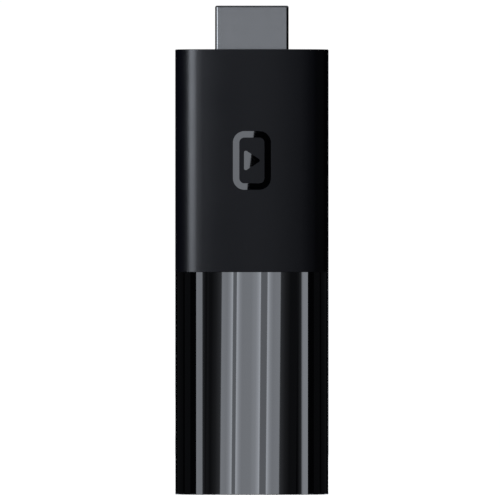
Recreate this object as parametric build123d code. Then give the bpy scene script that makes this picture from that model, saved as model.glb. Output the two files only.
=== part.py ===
from build123d import *
import os
from math import acos, atan2, cos, hypot, pi, sin, sqrt

# Streaming media player, standing on its closed end.
# X runs across the front face, Y from the front (-) to the back (+), Z up to the video plug.
# The origin is the middle of the closed end. Lengths are in millimetres.

# Body
TOTAL_LENGTH = 92.4
PLUG_PROUD = 8.3
BODY_LENGTH = TOTAL_LENGTH - PLUG_PROUD
BODY_WIDTH = 29.0
BODY_THICKNESS = 15.2
SEAM_Z = BODY_LENGTH / 2
FACE_RADIUS = 60.0
SIDE_RADIUS = 40.0
CORNER_RADIUS = 5.2
BLEND_RADIUS = 18.0
BLEND_X = 9.3
WALL = 1.5
END_WALL = 1.6
END_EDGE_RADIUS = 0.15
SEAM_CHAMFER = 0.07

# Sides of the board, and how far blocks reach past or into their neighbours
FRONT = -1
BACK = 1
PAST = 1.0
OVERLAP = 0.1

# Ribs on the closed end, with a groove for the board
RIB_X = 7.5
RIB_WIDTH = 1.4
RIB_DEPTH = 4.4
RIB_RISE = 1.2

# Snap joint between the sleeves: a lip on the lower one fits a rebate in the upper one
LIP_HEIGHT = 3.0
LIP_INSET = 0.85
LIP_CLEARANCE = 0.05
RIDGE_PROUD = 0.3
RIDGE_CLEARANCE = 0.1
RIDGE_WIDTH = 5.0
RIDGE_HEIGHT = 0.8
RIDGE_X = 6.0
RIDGE_RISE = 1.2

# Emblem: a play arrow in an upright outline, let into the front of the upper sleeve
EMBLEM_Z = 63.1
EMBLEM_WIDTH = 7.2
EMBLEM_HEIGHT = 11.1
EMBLEM_CORNER = 2.2
EMBLEM_STROKE = 1.25
EMBLEM_DEPTH = 0.3
ARROW_HEIGHT = 4.3
ARROW_WIDTH = 3.3
ARROW_CORNER = 0.35
ARROW_SHIFT = 0.15

# Video plug, wide side to the front
PLUG_WIDTH = 13.9
PLUG_THICKNESS = 4.45
PLUG_NARROW_WIDTH = 10.9
PLUG_SHOULDER_Y = 0.45
PLUG_CORNER_RADIUS = 0.5
PLUG_SHEET = 0.35
PLUG_RIM_RADIUS = 0.3
PLUG_REAR_Z = 76.3
PLUG_CLEARANCE = 0.12
PLUG_FOLD_WIDTH = 0.12
PLUG_FOLD_DEPTH = 0.15
INSULATOR_RECESS = 0.9
INSULATOR_CLEARANCE = 0.03
SLOT_WIDTH = 11.2
SLOT_HEIGHT = 1.9
SLOT_DEPTH = 8.0
CONTACT_PITCH = 1.0
FRONT_CONTACTS = 10
BACK_CONTACTS = 9
CONTACT_WIDTH = 0.4
CONTACT_SHEET = 0.2
CONTACT_GROOVE_WIDTH = 0.56
CONTACT_GROOVE_DEPTH = 0.4
CONTACT_LINE_Y = 1.05
CONTACT_CREST_Y = 0.85
CONTACT_TAIL = 2.3
CONTACT_RAMP = 0.6
CONTACT_ENTRY = 1.0
CONTACT_CREST_DEPTH = 1.8
CONTACT_TIP_DEPTH = 0.5
COVER_SHEET = 0.25
COVER_LENGTH = 5.7
COVER_OVERLAP = 2.2
COVER_SLOT_CLEARANCE = 0.1

# Main board, in the middle of the thickness
BOARD_THICKNESS = 0.8
BOARD_WIDTH = 24.0
BOARD_LOW_Z = 3.0
BOARD_HIGH_Z = 75.5
BOARD_CORNER = 1.0
BOARD_FACE_Y = BOARD_THICKNESS / 2
BOARD_NOTCH_LENGTH = 7.7
BOARD_NOTCH_GAP = 0.2

# Power socket, mouth to the left
SOCKET_Z = 14.7
SOCKET_LENGTH = 7.5
SOCKET_NARROW_LENGTH = 5.7
SOCKET_HEIGHT = 2.45
SOCKET_SHOULDER_Y = 0.25
SOCKET_CORNER_RADIUS = 0.35
SOCKET_DEPTH = 5.4
SOCKET_SHEET = 0.25
SOCKET_RECESS = 0.5
SOCKET_MOUTH_X = SOCKET_RECESS - BODY_WIDTH / 2
SOCKET_REAR_X = SOCKET_MOUTH_X + SOCKET_DEPTH
APERTURE_LENGTH = 7.9
APERTURE_HEIGHT = 3.0
APERTURE_CORNER = 1.3
SLIDE_GROOVE_HEIGHT = 2.8
SLIDE_GROOVE_GAP = 0.05
SOCKET_BASE_DEPTH = 1.0
SOCKET_BASE_RECESS = 0.1
TONGUE_LENGTH = 3.7
TONGUE_THICKNESS = 0.6
TONGUE_RECESS = 0.8
TONGUE_CHAMFER = 0.12
SOCKET_CONTACTS = 5
SOCKET_CONTACT_PITCH = 0.65
SOCKET_CONTACT_WIDTH = 0.38
SOCKET_CONTACT_SHEET = 0.15
SOCKET_CONTACT_Y = 0.1
SOCKET_CONTACT_TIP = 0.3
SOCKET_CONTACT_BEND = 0.25
SOCKET_TAIL_LENGTH = 1.2
SOCKET_WING_REACH = 1.4
SOCKET_WING_WIDTH = 1.4
SOCKET_WING_X = -11.1

# Light pipe of the indicator, below the socket
LIGHT_PIPE_Z = 8.0
LIGHT_PIPE_Y = -0.8
LIGHT_PIPE_RADIUS = 0.5
LIGHT_PIPE_FLANGE_RADIUS = 0.8
LIGHT_PIPE_FLANGE = 0.4
LIGHT_PIPE_GAP = 0.04

# Carrier frame: a collar round the plug and a grooved rail at each edge of the board
COLLAR_LOW_Z = 79.0
COLLAR_HIGH_Z = 82.3
COLLAR_CLEARANCE = 0.1
FRAME_INSET = WALL + 0.15
RAIL_INNER_X = 10.6
RAIL_HALF_HEIGHT = 3.35
RAIL_LOW_Z = 4.6
LEFT_RAIL_LOW_Z = 20.6
RAIL_ROOT = 0.5
BOARD_GROOVE_CLEARANCE = 0.05
STAKE_RADIUS = 0.4
STAKE_PROUD = 0.35
STAKE_ROOT = 0.5
STAKE_X = 11.2
STAKE_LEVELS = (24.0, 48.0, 71.0)

# Shields and heat path
SHIELD_HEIGHT = 1.9
SHIELD_SHEET = 0.2
FENCE_FLANGE = 0.6
LID_SKIRT = 1.3
LID_CLEARANCE = 0.02
FRONT_SHIELD = {"x": (-10.0, 10.0), "z": (30.0, 66.0)}
REAR_SHIELD = {"x": (-10.0, 10.0), "z": (38.0, 66.0)}
SPREADER_Y = 3.4
SPREADER_SHEET = 0.6
SPREADER_HALF_WIDTH = 11.8
SPREADER_LOW_Z = 8.6
SPREADER_HIGH_Z = 74.0
SPREADER_CORNER = 1.5
STAKE_HOLE_CLEARANCE = 0.05
SPREADER_PAD_WIDTH = 17.0
SPREADER_PAD_MARGIN = 1.5

# Chips: centre (x, z) on the board's face and package (width, length, height)
PROCESSOR_PLACE = (0.0, 56.5)
PROCESSOR_SIZE = (14.0, 14.0, 1.15)
PROCESSOR_PAD = (12.0, 12.0)
MEMORY_PLACES = ((-4.7, 39.5), (4.7, 39.5))
MEMORY_SIZE = (7.5, 13.3, 1.0)
STORAGE_PLACE = (0.0, 50.0)
STORAGE_SIZE = (11.5, 13.0, 1.0)
STORAGE_PAD = (10.0, 11.0)
CHIP_SUBSTRATE = 0.35
CHIP_CAP_BASE = 0.3
CHIP_CAP_INSET = 0.25
CHIP_MARK_INSET = 1.0
CHIP_MARK_RADIUS = 0.35
CHIP_MARK_DEPTH = 0.08

# Power parts and crystals: side and centre of each, package (width, length, height)
REGULATOR_PLACES = ((FRONT, -3.5, 13.0), (FRONT, 3.5, 13.0), (BACK, 4.0, 30.0))
REGULATOR_SIZE = (4.0, 4.0, 0.85)
REGULATOR_CHAMFER = 0.15
INDUCTOR_PLACES = ((FRONT, -3.5, 18.0), (FRONT, 3.5, 18.0), (FRONT, 0.0, 8.6), (BACK, 4.0, 25.2))
INDUCTOR_SIZE = (3.2, 2.5, 1.6)
INDUCTOR_CORNER = 0.4
PROCESSOR_CRYSTAL = (BACK, 7.8, 56.0, (2.5, 3.2, 0.75))
WIRELESS_CRYSTAL = (FRONT, -6.2, 25.0, (2.0, 2.5, 0.6))
CRYSTAL_CORNER = 0.3
PROTECTOR_X = 2.6
PROTECTOR_Z = 70.9
PROTECTOR_SIZE = (2.4, 1.0, 0.5)

# Two-ended parts: (long, short, height) and rows of (side, first centre, step, count, size, upright)
END_CAP_SHARE = 0.22
END_CAP_PROUD = 0.03
SMALL_CAPACITOR = (1.0, 0.5, 0.5)
MIDDLE_CAPACITOR = (1.6, 0.8, 0.8)
LARGE_CAPACITOR = (2.0, 1.25, 1.25)
RESISTOR = (1.0, 0.5, 0.35)
CAPACITOR_ROWS = (
    (BACK, (-8.5, 61.6), (1.9, 0.0), 10, SMALL_CAPACITOR, True),
    (BACK, (-8.5, 40.4), (1.9, 0.0), 10, SMALL_CAPACITOR, True),
    (FRONT, (-8.9, 50.5), (0.0, 1.7), 8, MIDDLE_CAPACITOR, False),
    (BACK, (-5.5, 8.0), (0.0, 1.9), 5, LARGE_CAPACITOR, False),
)
RESISTOR_ROWS = (
    (FRONT, (8.9, 50.5), (0.0, 1.3), 10, RESISTOR, False),
    (BACK, (-7.5, 44.5), (0.0, 1.3), 9, RESISTOR, False),
    (FRONT, (-7.2, 68.0), (1.6, 0.0), 10, RESISTOR, True),
)

# Wireless parts
WIRELESS_PLACE = (3.4, 25.2)
WIRELESS_SIZE = (12.4, 7.6, 0.5)
WIRELESS_CAN_SIZE = (11.8, 7.0, 1.1)
WIRELESS_CAN_SHEET = 0.2
WIRELESS_CAN_CORNER = 0.4
ANTENNA_X = 6.0
ANTENNA_Z = 5.6
ANTENNA_LENGTH = 8.0
ANTENNA_DEPTH = 2.6
ANTENNA_HEIGHT = 4.0
ANTENNA_SHEET = 0.2
ANTENNA_FEED_DEPTH = 1.2
ANTENNA_GROUND_SHIFT = 2.2
ANTENNA_GROUND_WIDTH = 1.0

# Lamp that shines into the light pipe
LAMP_X = -11.4
LAMP_SIZE = (1.0, 1.8, 0.8)
LAMP_WINDOW = (1.2, 0.4)
LAMP_WINDOW_CORNER = 0.15
LAMP_WINDOW_DEPTH = 0.15


def block(x, y, z):
    """Rectangular block between the (low, high) pairs x, y and z."""
    sizes = [abs(pair[1] - pair[0]) for pair in (x, y, z)]
    middles = [(pair[0] + pair[1]) / 2 for pair in (x, y, z)]
    return Pos(*middles) * Box(*sizes)


def joined(pieces):
    """One part from several solids, which stay separate where they do not touch."""
    return Part() + list(pieces)


def oval_arcs():
    """Arcs of one quarter of the cross-section: (centre, radius, start angle, end angle)."""
    face_centre = (0, BODY_THICKNESS / 2 - FACE_RADIUS)
    side_centre = (BODY_WIDTH / 2 - SIDE_RADIUS, 0)
    face_end = acos(BLEND_X / FACE_RADIUS)
    to_face = FACE_RADIUS - BLEND_RADIUS
    blend_centre = (to_face * cos(face_end), face_centre[1] + to_face * sin(face_end))
    to_blend = BLEND_RADIUS - CORNER_RADIUS
    to_side = SIDE_RADIUS - CORNER_RADIUS
    between = (blend_centre[0] - side_centre[0], blend_centre[1])
    gap = hypot(*between)
    along = (to_side ** 2 - to_blend ** 2 + gap ** 2) / (2 * gap)
    across = sqrt(to_side ** 2 - along ** 2)
    unit = (between[0] / gap, between[1] / gap)
    corner = (side_centre[0] + along * unit[0] - across * unit[1],
              along * unit[1] + across * unit[0])
    blend_end = atan2(corner[1] - blend_centre[1], corner[0] - blend_centre[0])
    side_end = atan2(corner[1], corner[0] - side_centre[0])
    return [(face_centre, FACE_RADIUS, pi / 2, face_end),
            (blend_centre, BLEND_RADIUS, face_end, blend_end),
            (corner, CORNER_RADIUS, blend_end, side_end),
            (side_centre, SIDE_RADIUS, side_end, 0)]


def oval_face(inset):
    """The body's cross-section, moved inwards by inset: tangent arcs mirrored from one quarter."""
    arcs = []
    for centre, radius, start, end in oval_arcs():
        points = [(centre[0] + (radius - inset) * cos(angle), centre[1] + (radius - inset) * sin(angle))
                  for angle in (start, (start + end) / 2, end)]
        for sign_x in (-1, 1):
            for sign_y in (-1, 1):
                arcs.append(ThreePointArc(*[(sign_x * px, sign_y * py) for px, py in points]))
    return make_face(arcs)


def oval_bar(inset, low_z, high_z):
    """Solid bar of the body's cross-section between two levels."""
    return Pos(0, 0, low_z) * extrude(oval_face(inset), amount=high_z - low_z)


def six_sided_outline(half_wide, half_narrow, wide_y, shoulder_y, narrow_y, radius):
    """Symmetric outline with square corners on its wide side and cut corners on its narrow side."""
    corners = [(-half_wide, wide_y), (half_wide, wide_y), (half_wide, shoulder_y),
               (half_narrow, narrow_y), (-half_narrow, narrow_y), (-half_wide, shoulder_y)]
    face = make_face(Polyline(*corners, close=True))
    return fillet(face.vertices(), radius)


def plug_bar(inset, low_z, high_z):
    """Solid bar of the plug's outline, moved inwards by inset, between two levels."""
    outline = six_sided_outline(PLUG_WIDTH / 2, PLUG_NARROW_WIDTH / 2, -PLUG_THICKNESS / 2,
                                PLUG_SHOULDER_Y, PLUG_THICKNESS / 2, PLUG_CORNER_RADIUS)
    if inset:
        outline = offset(outline, amount=-inset)
    return Pos(0, 0, low_z) * extrude(outline, amount=high_z - low_z)


def strip_outline(points, thickness):
    """Closed outline of a bent strip that follows a line of points."""
    normals = []
    for start, end in zip(points, points[1:]):
        length = hypot(end[0] - start[0], end[1] - start[1])
        normals.append(((start[1] - end[1]) / length, (end[0] - start[0]) / length))
    left = []
    right = []
    for (px, py), before, after in zip(points, normals[:1] + normals, normals + normals[-1:]):
        total = (before[0] + after[0], before[1] + after[1])
        scale = thickness / (total[0] ** 2 + total[1] ** 2)
        left.append((px + total[0] * scale, py + total[1] * scale))
        right.append((px - total[0] * scale, py - total[1] * scale))
    return Polyline(*left, *reversed(right), close=True)


def snap_ridges(outer_inset, inner_inset, low_z, high_z, extra_width):
    """Four short bands on the front and back of an oval ring, for the snap joint."""
    ring = oval_bar(outer_inset, low_z, high_z) - oval_bar(inner_inset, low_z, high_z)
    half = RIDGE_WIDTH / 2 + extra_width
    windows = [block((x - half, x + half), (-BODY_THICKNESS, BODY_THICKNESS), (low_z, high_z))
               for x in (-RIDGE_X, RIDGE_X)]
    return ring & joined(windows)


def emblem_outline_face():
    """Upright outline of the emblem, drawn in the XZ plane."""
    outer = RectangleRounded(EMBLEM_WIDTH, EMBLEM_HEIGHT, EMBLEM_CORNER)
    inner = RectangleRounded(EMBLEM_WIDTH - 2 * EMBLEM_STROKE, EMBLEM_HEIGHT - 2 * EMBLEM_STROKE,
                             EMBLEM_CORNER - EMBLEM_STROKE)
    return outer - inner


def emblem_arrow_face():
    """Play arrow with rounded corners, drawn in the XZ plane."""
    left = ARROW_SHIFT - ARROW_WIDTH / 2
    right = ARROW_SHIFT + ARROW_WIDTH / 2
    corners = [(left, -ARROW_HEIGHT / 2), (right, 0), (left, ARROW_HEIGHT / 2)]
    face = make_face(Polyline(*corners, close=True))
    return fillet(face.vertices(), ARROW_CORNER)


def emblem_piece(face):
    """The front skin of the upper sleeve inside an emblem face: a thin curved inlay."""
    low_z = EMBLEM_Z - EMBLEM_HEIGHT
    high_z = EMBLEM_Z + EMBLEM_HEIGHT
    skin = oval_bar(0, low_z, high_z) - oval_bar(EMBLEM_DEPTH, low_z, high_z)
    cutter = Plane((0, 0, EMBLEM_Z), x_dir=(1, 0, 0), z_dir=(0, -1, 0)) * face
    return skin & extrude(cutter, amount=BODY_THICKNESS)


def upper_sleeve():
    """Matte tube with the end wall that the plug comes through."""
    body = oval_bar(0, SEAM_Z, BODY_LENGTH)
    body = fillet(body.edges().group_by(Axis.Z)[-1], END_EDGE_RADIUS)
    body = chamfer(body.edges().group_by(Axis.Z)[0], SEAM_CHAMFER)
    body -= oval_bar(WALL, SEAM_Z, BODY_LENGTH - END_WALL)
    body -= oval_bar(LIP_INSET - LIP_CLEARANCE, SEAM_Z, SEAM_Z + LIP_HEIGHT + LIP_CLEARANCE)
    pocket_low = SEAM_Z + RIDGE_RISE - RIDGE_CLEARANCE
    pocket_high = SEAM_Z + RIDGE_RISE + RIDGE_HEIGHT + RIDGE_CLEARANCE
    body -= snap_ridges(LIP_INSET - RIDGE_PROUD - RIDGE_CLEARANCE, WALL,
                        pocket_low, pocket_high, RIDGE_CLEARANCE)
    body -= plug_bar(-PLUG_CLEARANCE, BODY_LENGTH - 2 * END_WALL, BODY_LENGTH + END_WALL)
    body -= emblem_piece(emblem_outline_face())
    body -= emblem_piece(emblem_arrow_face())
    return body


def socket_plane(x):
    """Plane across the socket at a distance x: its own x is up, its y is back, its normal is left."""
    return Plane((x, 0, SOCKET_Z), x_dir=(0, 0, 1), z_dir=(-1, 0, 0))


def light_pipe_plane(x):
    """Plane across the light pipe at a distance x, with its normal to the left."""
    return Plane((x, LIGHT_PIPE_Y, LIGHT_PIPE_Z), x_dir=(0, 0, 1), z_dir=(-1, 0, 0))


def board_rib(x):
    """Rib on the closed end with a groove for the board's lower edge."""
    half_width = RIB_WIDTH / 2
    rib = block((x - half_width, x + half_width), (-RIB_DEPTH / 2, RIB_DEPTH / 2),
                (END_WALL - OVERLAP, BOARD_LOW_Z + RIB_RISE))
    groove_half = BOARD_FACE_Y + BOARD_GROOVE_CLEARANCE
    groove_z = (BOARD_LOW_Z - BOARD_GROOVE_CLEARANCE, BOARD_LOW_Z + RIB_RISE + PAST)
    return rib - block((x - RIB_WIDTH, x + RIB_WIDTH), (-groove_half, groove_half), groove_z)


def lower_sleeve():
    """Gloss tube with a closed end, a side opening for the power socket and the snap lip."""
    body = oval_bar(0, 0, SEAM_Z)
    body = fillet(body.edges().group_by(Axis.Z)[0], END_EDGE_RADIUS)
    body = chamfer(body.edges().group_by(Axis.Z)[-1], SEAM_CHAMFER)
    lip_top = SEAM_Z + LIP_HEIGHT
    body += oval_bar(LIP_INSET, SEAM_Z - WALL, lip_top)
    ridge_low = SEAM_Z + RIDGE_RISE
    body += snap_ridges(LIP_INSET - RIDGE_PROUD, WALL, ridge_low, ridge_low + RIDGE_HEIGHT, 0)
    body -= oval_bar(WALL, END_WALL, lip_top)
    body += joined(board_rib(x) for x in (-RIB_X, RIB_X))
    groove_half = SLIDE_GROOVE_HEIGHT / 2
    groove_low = SOCKET_Z - APERTURE_LENGTH / 2
    body -= block((SOCKET_MOUTH_X - SLIDE_GROOVE_GAP, 0), (-groove_half, groove_half),
                  (groove_low, lip_top))
    aperture = socket_plane(0) * RectangleRounded(APERTURE_LENGTH, APERTURE_HEIGHT, APERTURE_CORNER)
    body -= extrude(aperture, amount=BODY_WIDTH)
    body -= extrude(light_pipe_plane(0) * Circle(LIGHT_PIPE_RADIUS), amount=BODY_WIDTH)
    return body


def plug_shell():
    """Folded steel shell with a rounded mouth and a fine fold line down the narrow side."""
    bar = plug_bar(0, PLUG_REAR_Z, TOTAL_LENGTH)
    bar = fillet(bar.edges().group_by(Axis.Z)[-1], PLUG_RIM_RADIUS)
    bar -= plug_bar(PLUG_SHEET, PLUG_REAR_Z, TOTAL_LENGTH)
    back = PLUG_THICKNESS / 2
    fold = block((-PLUG_FOLD_WIDTH / 2, PLUG_FOLD_WIDTH / 2), (back - PLUG_FOLD_DEPTH, back + PAST),
                 (PLUG_REAR_Z, TOTAL_LENGTH))
    return bar - fold


def contact_places(side):
    """X positions of the plug's contacts on the front or the back of its slot."""
    count = FRONT_CONTACTS if side == FRONT else BACK_CONTACTS
    return [(index - (count - 1) / 2) * CONTACT_PITCH for index in range(count)]


def plug_contacts(side):
    """Row of bent strips: a tail on the board, a straight run in the block, a crest in the slot."""
    tail_y = BOARD_FACE_Y + CONTACT_SHEET / 2
    mouth_z = TOTAL_LENGTH - INSULATOR_RECESS
    slot_low = mouth_z - SLOT_DEPTH
    line = [(tail_y, BOARD_HIGH_Z - CONTACT_TAIL), (tail_y, BOARD_HIGH_Z),
            (CONTACT_LINE_Y, BOARD_HIGH_Z + CONTACT_RAMP), (CONTACT_LINE_Y, slot_low + CONTACT_ENTRY),
            (CONTACT_CREST_Y, mouth_z - CONTACT_CREST_DEPTH),
            (CONTACT_LINE_Y, mouth_z - CONTACT_TIP_DEPTH)]
    points = [(side * y, z) for y, z in line]
    profile = Plane.YZ * make_face(strip_outline(points, CONTACT_SHEET))
    strip = extrude(profile, amount=CONTACT_WIDTH / 2, both=True)
    return joined(Pos(x, 0, 0) * strip for x in contact_places(side))


def insulator_bar():
    """Everything inside the plug's shell, from its rear to the moulding's recessed mouth."""
    return plug_bar(PLUG_SHEET + INSULATOR_CLEARANCE, PLUG_REAR_Z, TOTAL_LENGTH - INSULATOR_RECESS)


def plug_contact_carrier(side):
    """Moulded plate between the slot and the shell, with a groove behind each contact."""
    mouth_z = TOTAL_LENGTH - INSULATOR_RECESS
    half_slot = SLOT_HEIGHT / 2
    half_groove = CONTACT_GROOVE_WIDTH / 2
    depth = (side * half_slot, side * PLUG_THICKNESS)
    plate = insulator_bar() & block((-PLUG_WIDTH, PLUG_WIDTH), depth, (PLUG_REAR_Z, mouth_z))
    ends = (side * (half_slot - OVERLAP), side * (half_slot + CONTACT_GROOVE_DEPTH))
    groove_z = (mouth_z - SLOT_DEPTH + CONTACT_ENTRY, mouth_z + PAST)
    plate -= joined(block((x - half_groove, x + half_groove), ends, groove_z)
                    for x in contact_places(side))
    return plate - plug_contacts(side)


def plug_core():
    """Moulded spacer between the two plates: a block with a post at each end of the slot."""
    mouth_z = TOTAL_LENGTH - INSULATOR_RECESS
    half_slot = SLOT_HEIGHT / 2
    core = insulator_bar() & block((-PLUG_WIDTH, PLUG_WIDTH), (-half_slot, half_slot),
                                   (PLUG_REAR_Z, mouth_z))
    return core - block((-SLOT_WIDTH / 2, SLOT_WIDTH / 2), (-half_slot, half_slot),
                        (mouth_z - SLOT_DEPTH, mouth_z + PAST))


def plug_rear_cover():
    """Stamped sleeve round the back of the plug, slotted on both sides for the board."""
    high_z = PLUG_REAR_Z + COVER_OVERLAP
    low_z = high_z - COVER_LENGTH
    tube = plug_bar(-COVER_SHEET, low_z, high_z) - plug_bar(0, low_z, high_z)
    slot = block((-BOARD_WIDTH, BOARD_WIDTH), (-BOARD_FACE_Y, BOARD_FACE_Y),
                 (low_z, BOARD_HIGH_Z + COVER_SLOT_CLEARANCE))
    return tube - slot


def socket_bar(inset, mouth_x, rear_x):
    """Solid bar of the socket's outline, moved inwards by inset, from its mouth to its rear."""
    outline = six_sided_outline(SOCKET_LENGTH / 2, SOCKET_NARROW_LENGTH / 2, -SOCKET_HEIGHT / 2,
                                SOCKET_SHOULDER_Y, SOCKET_HEIGHT / 2, SOCKET_CORNER_RADIUS)
    if inset:
        outline = offset(outline, amount=-inset)
    return extrude(socket_plane(mouth_x) * outline, amount=-(rear_x - mouth_x))


def socket_shell():
    """Steel shell of the power socket, with a soldered wing at each end."""
    shell = socket_bar(0, SOCKET_MOUTH_X, SOCKET_REAR_X)
    shell -= socket_bar(SOCKET_SHEET, SOCKET_MOUTH_X - PAST, SOCKET_REAR_X + PAST)
    half = SOCKET_LENGTH / 2
    wing_x = (SOCKET_WING_X - SOCKET_WING_WIDTH / 2, SOCKET_WING_X + SOCKET_WING_WIDTH / 2)
    wing_y = (-BOARD_FACE_Y - SOCKET_SHEET, -BOARD_FACE_Y)
    for sign in (-1, 1):
        wing_z = (SOCKET_Z + sign * (half - OVERLAP), SOCKET_Z + sign * (half + SOCKET_WING_REACH))
        shell += block(wing_x, wing_y, wing_z)
    return shell


def socket_contacts():
    """Five thin strips on the tongue, each with a tail on the board's back face."""
    tail_y = BOARD_FACE_Y + SOCKET_CONTACT_SHEET / 2
    tail_x = SOCKET_REAR_X + SOCKET_CONTACT_BEND
    points = [(SOCKET_MOUTH_X + TONGUE_RECESS + SOCKET_CONTACT_TIP, SOCKET_CONTACT_Y),
              (SOCKET_REAR_X - SOCKET_BASE_RECESS, SOCKET_CONTACT_Y),
              (tail_x, tail_y), (tail_x + SOCKET_TAIL_LENGTH, tail_y)]
    profile = make_face(strip_outline(points, SOCKET_CONTACT_SHEET))
    strip = extrude(profile, amount=SOCKET_CONTACT_WIDTH / 2, both=True)
    places = [(index - (SOCKET_CONTACTS - 1) / 2) * SOCKET_CONTACT_PITCH
              for index in range(SOCKET_CONTACTS)]
    return joined(Pos(0, 0, SOCKET_Z + place) * strip for place in places)


def socket_housing():
    """Moulded base and tongue inside the socket's shell."""
    base_x = SOCKET_REAR_X - SOCKET_BASE_DEPTH
    base = socket_bar(SOCKET_SHEET + INSULATOR_CLEARANCE, base_x,
                      SOCKET_REAR_X - SOCKET_BASE_RECESS)
    tongue_back = SOCKET_CONTACT_Y - SOCKET_CONTACT_SHEET / 2
    half = TONGUE_LENGTH / 2
    tongue = block((SOCKET_MOUTH_X + TONGUE_RECESS, base_x + OVERLAP),
                   (tongue_back - TONGUE_THICKNESS, tongue_back), (SOCKET_Z - half, SOCKET_Z + half))
    tongue = chamfer(tongue.edges().filter_by(Axis.Z).group_by(Axis.X)[0], TONGUE_CHAMFER)
    return base + tongue - socket_contacts()


def light_pipe():
    """Clear rod that fills its hole in the left wall, with a flange inside."""
    inner_x = WALL - BODY_WIDTH / 2
    rod = extrude(light_pipe_plane(inner_x + LIGHT_PIPE_FLANGE) * Circle(LIGHT_PIPE_RADIUS),
                  amount=BODY_WIDTH)
    flange = extrude(light_pipe_plane(inner_x + LIGHT_PIPE_GAP + LIGHT_PIPE_FLANGE)
                     * Circle(LIGHT_PIPE_FLANGE_RADIUS), amount=LIGHT_PIPE_FLANGE)
    return (rod & oval_bar(0, 0, SEAM_Z)) + flange


def main_board():
    """Circuit board with a notch for the socket."""
    middle = Plane((0, 0, (BOARD_LOW_Z + BOARD_HIGH_Z) / 2), x_dir=(1, 0, 0), z_dir=(0, -1, 0))
    outline = middle * RectangleRounded(BOARD_WIDTH, BOARD_HIGH_Z - BOARD_LOW_Z, BOARD_CORNER)
    board = extrude(outline, amount=BOARD_THICKNESS / 2, both=True)
    half = BOARD_NOTCH_LENGTH / 2
    return board - block((-BOARD_WIDTH, SOCKET_REAR_X + BOARD_NOTCH_GAP), (-PAST, PAST),
                         (SOCKET_Z - half, SOCKET_Z + half))


def carrier_frame():
    """Moulded fork: a collar round the plug, two grooved rails and the stakes for the plates."""
    frame = oval_bar(FRAME_INSET, COLLAR_LOW_Z, COLLAR_HIGH_Z)
    frame -= plug_bar(-COLLAR_CLEARANCE, COLLAR_LOW_Z - PAST, COLLAR_HIGH_Z + PAST)
    rail_top = COLLAR_LOW_Z + RAIL_ROOT
    bar = oval_bar(FRAME_INSET, RAIL_LOW_Z, rail_top)
    edge = BODY_WIDTH / 2
    depth = (-RAIL_HALF_HEIGHT, RAIL_HALF_HEIGHT)
    frame += joined([bar & block((RAIL_INNER_X, edge), depth, (RAIL_LOW_Z, rail_top)),
                     bar & block((-edge, -RAIL_INNER_X), depth, (LEFT_RAIL_LOW_Z, rail_top))])
    groove_x = BOARD_WIDTH / 2 + BOARD_GROOVE_CLEARANCE
    groove_y = BOARD_FACE_Y + BOARD_GROOVE_CLEARANCE
    frame -= block((-groove_x, groove_x), (-groove_y, groove_y),
                   (RAIL_LOW_Z - PAST, BOARD_HIGH_Z + BOARD_GROOVE_CLEARANCE))
    return frame + joined(stakes(STAKE_RADIUS, SPREADER_Y + SPREADER_SHEET + STAKE_PROUD))


def stakes(radius, reach):
    """Round pegs that stand out of the rails, front and back."""
    root_y = RAIL_HALF_HEIGHT - STAKE_ROOT
    pegs = []
    for side in (FRONT, BACK):
        for x in (-STAKE_X, STAKE_X):
            for z in STAKE_LEVELS:
                root = Plane((x, side * root_y, z), x_dir=(1, 0, 0), z_dir=(0, side, 0))
                pegs.append(extrude(root * Circle(radius), amount=reach - root_y))
    return pegs


def on_board(side, x, z, width, length, height, base=0.0):
    """Block on the front or back face of the board, centred on x and z."""
    near = BOARD_FACE_Y + base
    ends = (side * near, side * (near + height))
    return block((x - width / 2, x + width / 2), ends, (z - length / 2, z + length / 2))


def grid_chip(side, place, size):
    """Chip package: a thin substrate under a slightly smaller moulded cap with a corner mark."""
    x, z = place
    width, length, height = size
    substrate = on_board(side, x, z, width, length, CHIP_SUBSTRATE)
    cap = on_board(side, x, z, width - 2 * CHIP_CAP_INSET, length - 2 * CHIP_CAP_INSET,
                   height - CHIP_CAP_BASE, base=CHIP_CAP_BASE)
    corner = (x - width / 2 + CHIP_MARK_INSET, side * (BOARD_FACE_Y + height),
              z + length / 2 - CHIP_MARK_INSET)
    mark = Plane(corner, x_dir=(1, 0, 0), z_dir=(0, side, 0)) * Circle(CHIP_MARK_RADIUS)
    return substrate + cap - extrude(mark, amount=-CHIP_MARK_DEPTH)


def two_terminal(side, x, z, size, upright):
    """Small two-ended part with a slightly larger metal cap at each end."""
    long, short, height = size
    cap = long * END_CAP_SHARE
    shift = (long - cap) / 2
    pieces = []
    for along, part_long, proud in ((0, long - cap, 0), (-shift, cap, END_CAP_PROUD),
                                    (shift, cap, END_CAP_PROUD)):
        part_short = short + 2 * proud
        if upright:
            piece = on_board(side, x, z + along, part_short, part_long, height + proud)
        else:
            piece = on_board(side, x + along, z, part_long, part_short, height + proud)
        pieces.append(piece)
    return joined(pieces)


def two_terminal_rows(rows):
    """Evenly spaced rows of two-ended parts."""
    pieces = []
    for side, first, step, count, size, upright in rows:
        for index in range(count):
            x = first[0] + step[0] * index
            z = first[1] + step[1] * index
            pieces.append(two_terminal(side, x, z, size, upright))
    return joined(pieces)


def main_processor():
    """Largest chip, under the front shield."""
    return grid_chip(FRONT, PROCESSOR_PLACE, PROCESSOR_SIZE)


def memory_chips():
    """Two working-memory chips below the processor."""
    return joined(grid_chip(FRONT, place, MEMORY_SIZE) for place in MEMORY_PLACES)


def storage_chip():
    """Storage chip under the rear shield."""
    return grid_chip(BACK, STORAGE_PLACE, STORAGE_SIZE)


def power_regulators():
    """Three square regulators near the socket."""
    bodies = [on_board(side, x, z, *REGULATOR_SIZE) for side, x, z in REGULATOR_PLACES]
    return joined(chamfer(body.edges().filter_by(Axis.Y), REGULATOR_CHAMFER) for body in bodies)


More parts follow.
